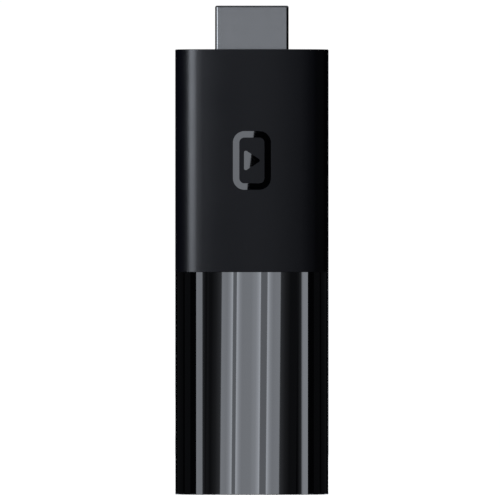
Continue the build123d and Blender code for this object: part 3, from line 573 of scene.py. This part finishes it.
def shade_by_area(piece):
    """Lets the large flat faces keep their own normals beside small rounded ones."""
    clean(piece)
    modifier = piece.modifiers.new("area_normals", "WEIGHTED_NORMAL")
    modifier.keep_sharp = True
    modifier.weight = AREA_WEIGHT
    return piece


def shade_by_section(piece):
    """Gives the faces of the outer wall the exact normals of the oval section."""
    clean(piece)
    mesh = piece.data
    normals = [Vector(corner.vector) for corner in mesh.corner_normals]
    for face in mesh.polygons:
        points = [mesh.vertices[index].co for index in face.vertices]
        if abs(face.normal.z) > UPRIGHT_NORMAL_Z:
            continue
        agreement = [oval_normal(point.x, point.y).dot(face.normal) for point in points]
        if min(agreement) < SAME_DIRECTION:
            continue
        for loop in face.loop_indices:
            point = mesh.vertices[mesh.loops[loop].vertex_index].co
            normals[loop] = oval_normal(point.x, point.y)
    mesh.normals_split_custom_set(normals)
    return piece


def show(piece, slot, *nodes):
    """Places a finished piece: its body, its material slot and the CAD nodes it stands for."""
    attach(piece, "root")
    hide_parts(*nodes)
    piece.data.materials.clear()
    piece.data.materials.append(bpy.data.materials[slot])
    return piece


# Pieces

def emblem_outline_prism(grow, depth_range):
    """Bar of the emblem's upright outline, with its width grown by the given amount all round."""
    outer_corners = rectangle(EMBLEM_WIDTH + 2 * grow, EMBLEM_HEIGHT + 2 * grow)
    stroke = EMBLEM_STROKE + 2 * grow
    inner_corners = moved_in(outer_corners, stroke)
    outer = rounded(outer_corners, EMBLEM_CORNER + grow, FINE_ARC_STEPS)
    inner = rounded(inner_corners, EMBLEM_CORNER - EMBLEM_STROKE - grow, FINE_ARC_STEPS)
    outer = [(x, z + EMBLEM_Z) for x, z in outer]
    inner = [(x, z + EMBLEM_Z) for x, z in inner]
    near, far = depth_range
    rings = [front_ring(outer, near), front_ring(outer, far),
             front_ring(inner, far), front_ring(inner, near)]
    return loft("outline_bar", rings, cyclic=True)


def emblem_arrow_prism(grow, depth_range):
    """Bar of the play arrow, grown by the given amount all round."""
    left = ARROW_SHIFT - ARROW_WIDTH / 2
    right = left + ARROW_WIDTH
    corners = [(left, -ARROW_HEIGHT / 2), (right, 0), (left, ARROW_HEIGHT / 2)]
    points = rounded(moved_in(corners, -grow), ARROW_CORNER + grow, FINE_ARC_STEPS)
    points = [(x, z + EMBLEM_Z) for x, z in points]
    return loft("arrow_bar", [front_ring(points, depth) for depth in depth_range])


def emblem_skin(outer_inset, inner_inset):
    """Skin of the front face round the emblem, between two cross-sections."""
    return oval_band("skin", outer_inset, inner_inset, EMBLEM_Z - EMBLEM_HEIGHT, EMBLEM_Z + EMBLEM_HEIGHT)


def emblem_pieces():
    """The two glossy inlays, flush with the face and a hairline smaller than their recesses."""
    depth_range = (-FAR, 0)
    outline = combine(emblem_outline_prism(-EMBLEM_GAP, depth_range),
                      emblem_skin(0, EMBLEM_DEPTH), "INTERSECT")
    outline.name = "emblem_outline_inlay"
    arrow = combine(emblem_arrow_prism(-EMBLEM_GAP, depth_range),
                    emblem_skin(0, EMBLEM_DEPTH), "INTERSECT")
    arrow.name = "emblem_arrow_inlay"
    show(shade_by_section(outline), "emblem_gloss", "emblem_outline")
    show(shade_by_section(arrow), "emblem_gloss", "emblem_arrow")
    return [outline, arrow]


def ridge_blocks(name, low_z, high_z, extra):
    """Windows that cut the snap ridges out of an oval band."""
    blocks = None
    for x in (-RIDGE_X, RIDGE_X):
        half = RIDGE_HALF_WIDTH + extra
        block = box_piece(name, (x - half, -FAR, low_z), (x + half, FAR, high_z))
        blocks = block if blocks is None else combine(blocks, block, "UNION")
    return blocks


def snap_ridges(name, outer_inset, low_z, high_z, extra):
    """Short bands on the front and back of the snap lip."""
    band = oval_band(name, outer_inset, WALL, low_z, high_z)
    return combine(band, ridge_blocks("windows", low_z - MM, high_z + MM, extra), "INTERSECT")


def plug_corners(inset):
    """Corners of the plug's outline, moved inwards by inset."""
    corners = six_sided(PLUG_HALF_WIDTH, PLUG_NARROW_HALF, PLUG_HALF_THICKNESS, PLUG_SHOULDER_Y)
    return moved_in(corners, inset)


def plug_ring(inset, z):
    """Rounded ring of the plug's outline at a height."""
    return upright_ring(rounded(plug_corners(inset), PLUG_CORNER_RADIUS - inset), z)


def upper_sleeve():
    """Matte tube: round-edged end wall with the plug's opening, and a rebate for the snap lip."""
    rebate_inset = LIP_INSET - LIP_CLEARANCE
    rebate_top = LIP_TOP_Z + LIP_CLEARANCE
    rings = [oval_ring(WALL, BODY_TOP_Z - END_WALL), oval_ring(WALL, rebate_top),
             oval_ring(rebate_inset, rebate_top), oval_ring(rebate_inset, SEAM_Z),
             oval_ring(SEAM_CHAMFER, SEAM_Z), oval_ring(0, SEAM_Z + SEAM_CHAMFER)]
    rings += [oval_ring(inset, BODY_TOP_Z - drop) for inset, drop in arc_rings(END_EDGE_RADIUS)]
    sleeve = loft("matte_sleeve", rings)
    opening = loft("opening", [plug_ring(-PLUG_CLEARANCE, BODY_TOP_Z - 2 * END_WALL),
                               plug_ring(-PLUG_CLEARANCE, BODY_TOP_Z + END_WALL)])
    combine(sleeve, opening, "DIFFERENCE")
    low_z = SEAM_Z + RIDGE_RISE - RIDGE_CLEARANCE
    high_z = SEAM_Z + RIDGE_RISE + RIDGE_HEIGHT + RIDGE_CLEARANCE
    pockets = snap_ridges("pockets", LIP_INSET - RIDGE_PROUD - RIDGE_CLEARANCE,
                          low_z, high_z, RIDGE_CLEARANCE)
    combine(sleeve, pockets, "DIFFERENCE")
    for prism in (emblem_outline_prism, emblem_arrow_prism):
        recess = combine(prism(0, (-FAR, 0)), emblem_skin(-MM, EMBLEM_DEPTH), "INTERSECT")
        combine(sleeve, recess, "DIFFERENCE")
    return show(shade_by_section(sleeve), "matte_shell", "upper_sleeve")


def aperture_cutter():
    """Bar of the socket's opening, flared where it meets the outer wall."""
    corners = rectangle(APERTURE_LENGTH, APERTURE_HEIGHT)
    wall_x = -HALF_WIDTH
    flare = MM + APERTURE_BEVEL
    rings = []
    for x, grow in ((wall_x - MM, flare), (wall_x + APERTURE_BEVEL, 0), (wall_x + 3 * WALL, 0)):
        outline = rounded(moved_in(corners, -grow), APERTURE_CORNER + grow, FINE_ARC_STEPS)
        rings.append(side_ring(outline, x))
    return loft("aperture", rings)


def circle(radius, steps=CIRCLE_STEPS):
    """Points of a circle round the light pipe's axis, in Y and Z."""
    return [(PIPE_Y + radius * cos(2 * pi * step / steps), PIPE_Z + radius * sin(2 * pi * step / steps))
            for step in range(steps)]


def pipe_ring(radius, x):
    """Ring round the light pipe's axis at a distance to the side."""
    return [(x, y, z) for y, z in circle(radius)]


def lower_sleeve():
    """Gloss tube: round-edged closed end, opening for the socket, hole for the light, snap lip."""
    rings = [oval_ring(inset, drop) for inset, drop in reversed(arc_rings(END_EDGE_RADIUS))]
    rings += [oval_ring(0, SEAM_Z - SEAM_CHAMFER), oval_ring(SEAM_CHAMFER, SEAM_Z),
              oval_ring(LIP_INSET, SEAM_Z), oval_ring(LIP_INSET, LIP_TOP_Z),
              oval_ring(WALL, LIP_TOP_Z), oval_ring(WALL, END_WALL)]
    sleeve = loft("gloss_sleeve", rings)
    low_z = SEAM_Z + RIDGE_RISE
    ridges = snap_ridges("ridges", LIP_INSET - RIDGE_PROUD, low_z, low_z + RIDGE_HEIGHT, 0)
    combine(sleeve, ridges, "UNION")
    board_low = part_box("main_board")[0].z
    for x in (-RIB_X, RIB_X):
        rib = box_piece("rib", (x - RIB_HALF_WIDTH, -RIB_HALF_DEPTH, END_WALL / 2),
                        (x + RIB_HALF_WIDTH, RIB_HALF_DEPTH, board_low + RIB_RISE))
        groove_half = LIP_CLEARANCE - BOARD_FACE_Y
        groove = box_piece("groove", (x - MM, -groove_half, board_low - LIP_CLEARANCE),
                           (x + MM, groove_half, board_low + 2 * RIB_RISE))
        combine(rib, groove, "DIFFERENCE")
        combine(sleeve, rib, "UNION")
    groove_low = (SOCKET_LOW.x - LIP_CLEARANCE, -SLIDE_GROOVE_HALF, SOCKET_Z - APERTURE_LENGTH / 2)
    slide = box_piece("slide", groove_low, (-HALF_WIDTH / 2, SLIDE_GROOVE_HALF, LIP_TOP_Z + MM))
    combine(sleeve, slide, "DIFFERENCE")
    combine(sleeve, aperture_cutter(), "DIFFERENCE")
    hole = loft("hole", [pipe_ring(PIPE_RADIUS, -HALF_WIDTH - MM),
                         pipe_ring(PIPE_RADIUS, -HALF_WIDTH + 2 * WALL)])
    combine(sleeve, hole, "DIFFERENCE")
    return show(shade_by_section(sleeve), "gloss_shell", "lower_sleeve")


def light_pipe():
    """Clear rod with a slightly domed end in the wall and a flange inside."""
    rod = PIPE_RADIUS - PIPE_GAP
    wall_x = -HALF_WIDTH
    flange_low = PIPE_HIGH.x - PIPE_FLANGE
    rings = [pipe_ring(rod * share, wall_x + PIPE_DOME_DEPTH * (1 + share * share))
             for share in PIPE_DOME_SHARES]
    rings += [pipe_ring(rod, wall_x + PIPE_EDGE_DEPTH), pipe_ring(rod, flange_low),
              pipe_ring(PIPE_HIGH.z - PIPE_Z, flange_low), pipe_ring(PIPE_HIGH.z - PIPE_Z, PIPE_HIGH.x)]
    return show(shade_by_area(loft("light_pipe_window", rings)), "light_pipe_clear", "light_pipe")


def plug_shell():
    """Folded steel shell: rounded rim, thin walls and the fold line down its back."""
    rings = [plug_ring(0, PLUG_LOW.z)]
    rings += [plug_ring(inset, PLUG_HIGH.z - drop)
              for inset, drop in arc_rings(PLUG_RIM_RADIUS, PLUG_RIM_STEPS)]
    rings += [plug_ring(PLUG_SHEET, PLUG_HIGH.z - PLUG_INNER_CHAMFER), plug_ring(PLUG_SHEET, PLUG_LOW.z)]
    shell = loft("plug_sleeve", rings, cyclic=True)
    fold = box_piece("fold", (-PLUG_FOLD_HALF, PLUG_HALF_THICKNESS - PLUG_FOLD_DEPTH, PLUG_LOW.z - MM),
                     (PLUG_FOLD_HALF, PLUG_HALF_THICKNESS + MM, PLUG_HIGH.z + MM))
    combine(shell, fold, "DIFFERENCE")
    return show(shade_by_area(shell), "plug_steel", "plug_shell")


def socket_shell():
    """Steel shell of the power socket with a rolled mouth, and its two soldered wings."""
    corners = six_sided(SOCKET_HALF_LENGTH, SOCKET_NARROW_HALF, SOCKET_HALF_HEIGHT, SOCKET_SHOULDER_Y)

    def ring(inset, x):
        return side_ring(rounded(moved_in(corners, inset), SOCKET_CORNER_RADIUS - inset), x)

    rim = arc_rings(SOCKET_RIM_RADIUS, SOCKET_RIM_STEPS)
    rings = [ring(0, SOCKET_HIGH.x)]
    rings += [ring(inset, SOCKET_LOW.x + drop) for inset, drop in rim]
    rings += [ring(SOCKET_SHEET - inset, SOCKET_LOW.x + drop) for inset, drop in reversed(rim)]
    rings.append(ring(SOCKET_SHEET, SOCKET_HIGH.x))
    shell = loft("socket_sleeve", rings, cyclic=True)
    for low_z, high_z in ((SOCKET_LOW.z, SOCKET_Z - SOCKET_HALF_LENGTH + SOCKET_WING_OVERLAP),
                          (SOCKET_Z + SOCKET_HALF_LENGTH - SOCKET_WING_OVERLAP, SOCKET_HIGH.z)):
        wing = box_piece("wing", (SOCKET_WING_X - SOCKET_WING_HALF, BOARD_FACE_Y - SOCKET_SHEET, low_z),
                         (SOCKET_WING_X + SOCKET_WING_HALF, BOARD_FACE_Y, high_z))
        combine(shell, wing, "UNION")
    return show(shade_by_area(shell), "socket_steel", "socket_shell")


# Materials

class Finish:
    """Node tree of one material slot round one Principled shader."""

    def __init__(self, slot, color, roughness):
        self.material = bpy.data.materials.get(slot) or bpy.data.materials.new(slot)
        self.material.use_nodes = True
        self.tree = self.material.node_tree
        self.tree.nodes.clear()
        self.shader = self.node("ShaderNodeBsdfPrincipled")
        output = self.node("ShaderNodeOutputMaterial")
        self.join(self.shader.outputs["BSDF"], output.inputs["Surface"])
        self.set("Base Color", (*color, 1))
        self.set("Roughness", roughness)
        place = self.node("ShaderNodeTexCoord")
        self.place = place.outputs["Object"]

    def node(self, kind):
        """New node in the tree."""
        return self.tree.nodes.new(kind)

    def join(self, source, target):
        """Link from an output to an input."""
        self.tree.links.new(source, target)

    def set(self, name, value):
        """Gives one of the shader's sockets a value that is the same everywhere."""
        self.shader.inputs[name].default_value = value

    def use(self, name, source):
        """Lets a texture drive one of the shader's sockets."""
        self.join(source, self.shader.inputs[name])

    def noise(self, size, detail=2, stretch=(1, 1, 1)):
        """Noise whose grains are about size metres across, longer where stretch is larger."""
        mapping = self.node("ShaderNodeMapping")
        self.join(self.place, mapping.inputs["Vector"])
        mapping.inputs["Scale"].default_value = [1 / (size * part) for part in stretch]
        texture = self.node("ShaderNodeTexNoise")
        texture.inputs["Scale"].default_value = 1
        texture.inputs["Detail"].default_value = detail
        self.join(mapping.outputs["Vector"], texture.inputs["Vector"])
        return texture.outputs["Fac"]

    def spread(self, source, low, high, from_low=NOISE_LOW, from_high=NOISE_HIGH):
        """Maps a texture onto the range from low to high."""
        node = self.node("ShaderNodeMapRange")
        self.join(source, node.inputs["Value"])
        node.inputs["From Min"].default_value = from_low
        node.inputs["From Max"].default_value = from_high
        node.inputs["To Min"].default_value = low
        node.inputs["To Max"].default_value = high
        return node.outputs["Result"]

    def blend(self, factor, first, second):
        """Colour that goes from first to second with a texture."""
        node = self.node("ShaderNodeMix")
        node.data_type = "RGBA"
        self.join(factor, node.inputs["Factor"])
        start, end = [socket for socket in node.inputs if socket.type == "RGBA"]
        start.default_value = (*first, 1)
        end.default_value = (*second, 1)
        return next(socket for socket in node.outputs if socket.type == "RGBA")

    def bump(self, height, distance):
        """Surface relief of the given depth in metres."""
        node = self.node("ShaderNodeBump")
        node.inputs["Strength"].default_value = 1
        node.inputs["Distance"].default_value = distance
        self.join(height, node.inputs["Height"])
        return node.outputs["Normal"]

    def shade(self, texture, color, share):
        """Base colour that a texture darkens, down to a share of its brightness."""
        darker = tuple(part * share for part in color)
        self.use("Base Color", self.blend(self.spread(texture, 0, 1), darker, color))

    def roughen(self, texture, roughness, unevenness):
        """Roughness that a texture varies between two shares of its usual value."""
        least, most = unevenness
        self.use("Roughness", self.spread(texture, roughness * least, roughness * most))


def matte_shell():
    """Fine-textured black plastic: tight moulding grain, uneven sheen and a duller end face."""
    finish = Finish("matte_shell", MATTE_COLOR, MATTE_ROUGHNESS)
    grain = finish.noise(MATTE_GRAIN, detail=3)
    clouds = finish.noise(MATTE_CLOUDS, detail=3)
    finish.use("Base Color", finish.blend(finish.spread(grain, 0, 1), *MATTE_SHADES))
    height = finish.node("ShaderNodeSeparateXYZ")
    finish.join(finish.place, height.inputs["Vector"])
    end_face = finish.spread(height.outputs["Z"], 0, 1, BODY_TOP_Z - END_EDGE_RADIUS, BODY_TOP_Z)
    sheen = finish.node("ShaderNodeMath")
    sheen.operation = "MULTIPLY_ADD"
    finish.join(end_face, sheen.inputs[0])
    sheen.inputs[1].default_value = MATTE_END_DULLNESS
    finish.join(finish.spread(clouds, *MATTE_SHEEN), sheen.inputs[2])
    finish.use("Roughness", sheen.outputs["Value"])
    finish.use("Normal", finish.bump(grain, MATTE_GRAIN_DEPTH))


def gloss_plastic(slot, roughness):
    """Polished black plastic with a trace of orange peel and uneven polish."""
    finish = Finish(slot, GLOSS_COLOR, roughness)
    peel = finish.noise(GLOSS_PEEL, detail=1)
    polish = finish.noise(GLOSS_POLISH, detail=4, stretch=(1, 1, 3))
    finish.roughen(polish, roughness, GLOSS_UNEVENNESS)
    finish.use("Normal", finish.bump(peel, GLOSS_PEEL_DEPTH))


def plug_steel():
    """Satin nickel-plated steel with fine lines along the plug."""
    finish = Finish("plug_steel", PLUG_COLOR, PLUG_ROUGHNESS)
    finish.set("Metallic", 1)
    lines = finish.noise(PLUG_LINES, stretch=PLUG_LINE_STRETCH)
    spots = finish.noise(PLUG_SPOTS, detail=3)
    finish.use("Base Color", finish.blend(finish.spread(spots, 0, 1), *PLUG_SHADES))
    finish.use("Roughness", finish.spread(lines, *PLUG_SHEEN))
    finish.use("Normal", finish.bump(lines, PLUG_LINE_DEPTH))


def bright_metal(slot, color, roughness, grain, stretch):
    """Stamped or plated metal with a rolled grain."""
    finish = Finish(slot, color, roughness)
    finish.set("Metallic", 1)
    lines = finish.noise(grain, detail=3, stretch=stretch)
    stain = finish.noise(METAL_STAINS)
    finish.shade(stain, color, METAL_STAIN_SHADE)
    finish.roughen(lines, roughness, METAL_UNEVENNESS)
    finish.use("Normal", finish.bump(lines, METAL_GRAIN_DEPTH))


def moulded(slot, color, roughness, grain, depth):
    """Moulded plastic, resin or ceramic with a fine grain."""
    finish = Finish(slot, color, roughness)
    grains = finish.noise(grain, detail=3)
    clouds = finish.noise(MOULDED_CLOUDS)
    finish.shade(clouds, color, MOULDED_CLOUD_SHADE)
    finish.roughen(grains, roughness, MOULDED_UNEVENNESS)
    finish.use("Normal", finish.bump(grains, depth))


def board_laminate():
    """Dark green solder mask over the laminate's woven glass."""
    finish = Finish("board_laminate", MASK_COLOR, MASK_ROUGHNESS)
    weave = [finish.noise(WEAVE_SIZE, detail=1, stretch=stretch) for stretch in WEAVE_STRETCHES]
    crossing = finish.node("ShaderNodeMath")
    crossing.operation = "MULTIPLY"
    finish.join(weave[0], crossing.inputs[0])
    finish.join(weave[1], crossing.inputs[1])
    cloth = finish.spread(crossing.outputs["Value"], 0, 1, *WEAVE_RANGE)
    finish.use("Base Color", finish.blend(cloth, *MASK_SHADES))
    finish.use("Roughness", finish.spread(finish.noise(MASK_CLOUDS), *MASK_SHEEN))
    finish.use("Normal", finish.bump(cloth, WEAVE_DEPTH))


def light_pipe_clear():
    """Clear plastic with a faint haze."""
    finish = Finish("light_pipe_clear", CLEAR_COLOR, CLEAR_ROUGHNESS)
    finish.set("IOR", CLEAR_IOR)
    finish.set("Transmission Weight", CLEAR_TRANSMISSION)
    haze = finish.noise(CLEAR_HAZE)
    finish.use("Roughness", finish.spread(haze, *CLEAR_SHEEN))
    finish.use("Normal", finish.bump(haze, CLEAR_HAZE_DEPTH))


def make_materials():
    """Every material slot of the record."""
    matte_shell()
    for slot, roughness in GLOSS_ROUGHNESS.items():
        gloss_plastic(slot, roughness)
    plug_steel()
    for slot, values in METALS.items():
        bright_metal(slot, *values)
    for slot, values in MOULDINGS.items():
        moulded(slot, *values)
    board_laminate()
    light_pipe_clear()


# Light: panels that the camera cannot see, each for the pieces it is meant for

def group(name, pieces):
    """Collection of the pieces that a panel lights."""
    collection = bpy.data.collections.new(name)
    for piece in pieces:
        collection.objects.link(piece)
    return collection


def panel(name, place, size, radiance, receivers, aim=(0, 0, STUDIO_Z), roll=0):
    """Rectangular light that gives off the same radiance everywhere, turned towards its aim."""
    data = bpy.data.lights.new(name, "AREA")
    data.shape = "RECTANGLE"
    data.size, data.size_y = size
    data.energy = radiance * pi * size[0] * size[1]
    data.color = LIGHT_COLOR
    lamp = bpy.data.objects.new(name, data)
    bpy.context.scene.collection.objects.link(lamp)
    lamp.location = place
    turned = (Vector(aim) - Vector(place)).to_track_quat("-Z", "Y")
    lamp.rotation_euler = (turned @ Quaternion((0, 0, 1), roll)).to_euler()
    lamp.visible_camera = False
    lamp.light_linking.receiver_collection = receivers
    return lamp


def around(azimuth, distance, z):
    """Point round the object: azimuth 0 is in front, 90 to the right."""
    return (distance * sin(radians(azimuth)), -distance * cos(radians(azimuth)), z)


def sector(name, low, high, distance, height, radiance, receivers, z=STUDIO_Z):
    """Upright panel that spans the azimuths from low to high as seen from the object."""
    width = 2 * distance * tan(radians(high - low) / 2)
    return panel(name, around((low + high) / 2, distance, z), (width, height), radiance, receivers,
                 aim=(0, 0, z))


def graded(lamp, levels, fade=0):
    """Changes a panel's brightness across its width, and fades it out over a share of its height."""
    data = lamp.data
    data.use_nodes = True
    tree = data.node_tree
    geometry = tree.nodes.new("ShaderNodeNewGeometry")
    split = tree.nodes.new("ShaderNodeSeparateXYZ")
    ramp = tree.nodes.new("ShaderNodeValToRGB")
    strength = tree.nodes.new("ShaderNodeMath")
    strength.operation = "MULTIPLY"
    strength.inputs[1].default_value = RAMP_TOP
    tree.links.new(geometry.outputs["Parametric"], split.inputs["Vector"])
    tree.links.new(split.outputs["X"], ramp.inputs["Fac"])
    tree.links.new(ramp.outputs["Color"], strength.inputs[0])
    if fade:
        edge = tree.nodes.new("ShaderNodeMapRange")
        edge.inputs["From Min"].default_value = 1 - fade
        edge.inputs["To Min"].default_value = RAMP_TOP
        edge.inputs["To Max"].default_value = 0
        tree.links.new(split.outputs["Y"], edge.inputs["Value"])
        tree.links.new(edge.outputs["Result"], strength.inputs[1])
    tree.links.new(strength.outputs["Value"], tree.nodes["Emission"].inputs["Strength"])
    elements = ramp.color_ramp.elements
    while len(elements) < len(levels):
        elements.new(0.5)
    for element, (share, level) in zip(elements, levels):
        element.position = share
        element.color = (level / RAMP_TOP, level / RAMP_TOP, level / RAMP_TOP, 1)
    return lamp


def low_sector(name, azimuth, half, radiance, receivers, top=LOW_TOP, levels=LOW_LEVELS):
    """Graded panel that hangs down from its top, which is near the floor's level."""
    lamp = sector(name, azimuth - half, azimuth + half, LOW_DISTANCE, LOW_HEIGHT, radiance, receivers,
                  top - LOW_HEIGHT / 2)
    return graded(lamp, levels, LOW_FADE)


def softbox_share(x):
    """Share of the softbox's width whose reflection falls at x on the front face."""
    turn = 2 * asin(x / FACE_RADIUS)
    reach = SOFTBOX_DISTANCE - HALF_THICKNESS
    return 0.5 + (x + reach * tan(turn)) / SOFTBOX_WIDTH


def softbox_levels():
    """Brightness across the softbox: an even field, two darker flags and the glow at their edges."""
    stops = [(FIELD_LEFT - away * MM, level) for away, level in SKIRT]
    stops.append((FIELD_LEFT + FIELD_EDGE_WIDTH, FIELD_EDGE_LEVEL))
    for low, high, glow in FLAGS:
        stops += [(low - away * MM, level) for away, level in glow]
        stops += [(low + FLAG_EDGE_WIDTH, FLAG_LEVEL), (high - FLAG_EDGE_WIDTH, FLAG_LEVEL)]
        stops += [(high + away * MM, level) for away, level in reversed(SHORT_GLOW)]
    stops.append((FIELD_RIGHT - FIELD_EDGE_WIDTH, FIELD_EDGE_LEVEL))
    stops += [(FIELD_RIGHT + away * MM, level) for away, level in reversed(SKIRT)]
    return [(softbox_share(x), level) for x, level in stops]


def striped_softbox(receivers):
    """Tall front softbox with vertical flags, leaning a little."""
    lamp = panel("front_softbox", (0, -SOFTBOX_DISTANCE, SOFTBOX_Z), (SOFTBOX_WIDTH, SOFTBOX_HEIGHT),
                 SOFTBOX_RADIANCE, receivers, aim=(0, 0, SOFTBOX_Z), roll=-SOFTBOX_LEAN)
    return graded(lamp, softbox_levels())


def gloss_lights(gloss):
    """Softbox and strips for the polished half, quiet panels all round and low ones."""
    striped_softbox(gloss)
    for name, low, high, radiance, levels in GLOSS_STRIPS:
        strip = sector(name, low, high, STRIP_DISTANCE, GLOSS_PANEL_HEIGHT, radiance, gloss)
        graded(strip, levels)
    for name, low, high, radiance in GLOSS_PANELS:
        sector(name, low, high, GLOSS_DISTANCE, GLOSS_PANEL_HEIGHT, radiance, gloss)
    for azimuth in GLOSS_LOW_AZIMUTHS:
        low_sector("gloss_low_%d" % azimuth, azimuth, GLOSS_LOW_HALF, GLOSS_LOW_RADIANCE, gloss,
                   levels=GLOSS_LOW_LEVELS)
    for azimuth in GLOSS_SIDE_AZIMUTHS:
        low_sector("gloss_low_%d" % azimuth, azimuth, GLOSS_SIDE_HALF, GLOSS_SIDE_RADIANCE, gloss)


def matte_lights(matte):
    """Key and fills for the textured half, and its low panels."""
    key = sector("matte_key", *MATTE_KEY_AZIMUTHS, MATTE_KEY_DISTANCE, MATTE_KEY_HEIGHT,
                 MATTE_KEY_RADIANCE, matte, MATTE_KEY_Z)
    graded(key, MATTE_KEY_LEVELS)
    for name, low, high, radiance in MATTE_PANELS:
        sector(name, low, high, MATTE_DISTANCE, MATTE_PANEL_HEIGHT, radiance, matte)
    for azimuth, radiance in MATTE_LOW_RADIANCES.items():
        low_sector("matte_low_%d" % azimuth, azimuth, MATTE_LOW_HALF, radiance, matte, MATTE_LOW_TOP)


def plug_lights(plug):
    """Even front panel, a bright edge on the left and quieter panels all round for the video plug."""
    for name, low, high, height, radiance, z in PLUG_PANELS:
        sector(name, low, high, PLUG_DISTANCE, height, radiance, plug, z)
    panel("plug_top", (0, 0, TOP_Z), PLUG_TOP_SIZE, PLUG_TOP_RADIANCE, plug)
    for azimuth in range(0, 360, 45):
        sector("plug_low_%d" % azimuth, azimuth - PLUG_LOW_HALF, azimuth + PLUG_LOW_HALF, PLUG_DISTANCE,
               PLUG_LOW_HEIGHT, PLUG_LOW_RADIANCE, plug, PLUG_LOW_Z)


def emblem_lights(emblem):
    """Card turned on its corner, whose slanted edge crosses the inlays, and low panels in front."""
    panel("emblem_card", (EMBLEM_CARD_X, -EMBLEM_CARD_DISTANCE, EMBLEM_CARD_Z), EMBLEM_CARD_SIZE,
          EMBLEM_CARD_RADIANCE, emblem, aim=(EMBLEM_CARD_X, 0, EMBLEM_CARD_Z), roll=EMBLEM_CARD_TURN)
    for azimuth in EMBLEM_LOW_AZIMUTHS:
        low_sector("emblem_low_%d" % azimuth, azimuth, EMBLEM_LOW_HALF, EMBLEM_LOW_RADIANCE, emblem,
                   EMBLEM_LOW_TOP)


def make_lights(gloss, matte, emblem, plug, socket, whole):
    """Every panel, by the collection of pieces that it lights."""
    gloss_lights(gloss)
    matte_lights(matte)
    plug_lights(plug)
    emblem_lights(emblem)
    sector("socket_light", *SOCKET_AZIMUTHS, SOCKET_DISTANCE, SOCKET_PANEL_HEIGHT, SOCKET_RADIANCE, socket)
    panel("top", (0, 0, TOP_Z), TOP_SIZE, TOP_RADIANCE, whole)
    panel("bottom", (0, 0, BOTTOM_Z), BOTTOM_SIZE, BOTTOM_RADIANCE, whole)


# Surroundings

def world():
    """White surroundings that only the camera sees."""
    white = bpy.data.worlds.new("white")
    bpy.context.scene.world = white
    white.use_nodes = True
    background = white.node_tree.nodes["Background"]
    background.inputs["Color"].default_value = (1, 1, 1, 1)
    background.inputs["Strength"].default_value = WHITE_LEVEL
    white.cycles_visibility.diffuse = False
    white.cycles_visibility.glossy = False
    white.cycles_visibility.transmission = False
    white.cycles_visibility.scatter = False


def floor():
    """White round floor with a soft light of its own, which throws nothing back at the object."""
    turns = [2 * pi * step / FLOOR_STEPS for step in range(FLOOR_STEPS)]
    points = [(FLOOR_RADIUS * cos(turn), FLOOR_RADIUS * sin(turn)) for turn in turns]
    disc = loft("floor", [upright_ring(points, -FLOOR_THICKNESS), upright_ring(points, 0)])
    disc.visible_diffuse = False
    disc.visible_glossy = False
    disc.visible_transmission = False
    disc.visible_shadow = False
    finish = Finish("floor_paint", FLOOR_COLOR, FLOOR_ROUGHNESS)
    finish.use("Roughness", finish.spread(finish.noise(FLOOR_GRAIN), *FLOOR_SHEEN))
    disc.data.materials.append(finish.material)
    lamp = panel("floor_light", (0, 0, FLOOR_LAMP_Z), FLOOR_LAMP_SIZE, FLOOR_RADIANCE,
                 group("floor_only", [disc]), aim=(0, 0, 0))
    lamp.data.color = (1, 1, 1)


def camera():
    """Long lens in front of the object, level with the middle of its length."""
    data = bpy.data.cameras.new("camera")
    data.lens = LENS
    data.sensor_width = SENSOR_WIDTH
    data.clip_end = CAMERA_REACH
    view = bpy.data.objects.new("camera", data)
    bpy.context.scene.collection.objects.link(view)
    view.location = (CAMERA_X, -CAMERA_DISTANCE, (CAD_BOX[0].z + CAD_BOX[1].z) / 2)
    view.rotation_euler = (pi / 2, 0, 0)
    bpy.context.scene.camera = view


make_materials()
emblem_parts = emblem_pieces()
upper = upper_sleeve()
lower = lower_sleeve()
pipe = light_pipe()
plug = plug_shell()
socket = socket_shell()
bpy.context.scene.view_settings.view_transform = "Standard"
shown = [node for node in frame["nodes"].values() if not node.hide_render]
socket_parts = [socket, pipe] + [node for node in shown if node.name.startswith("socket")]
make_lights(group("gloss", [lower] + shown), group("matte", [upper]), group("emblem", emblem_parts),
            group("plug", [plug]), group("socket", socket_parts),
            group("whole", [upper, lower, pipe, socket] + emblem_parts + shown))
world()
floor()
camera()
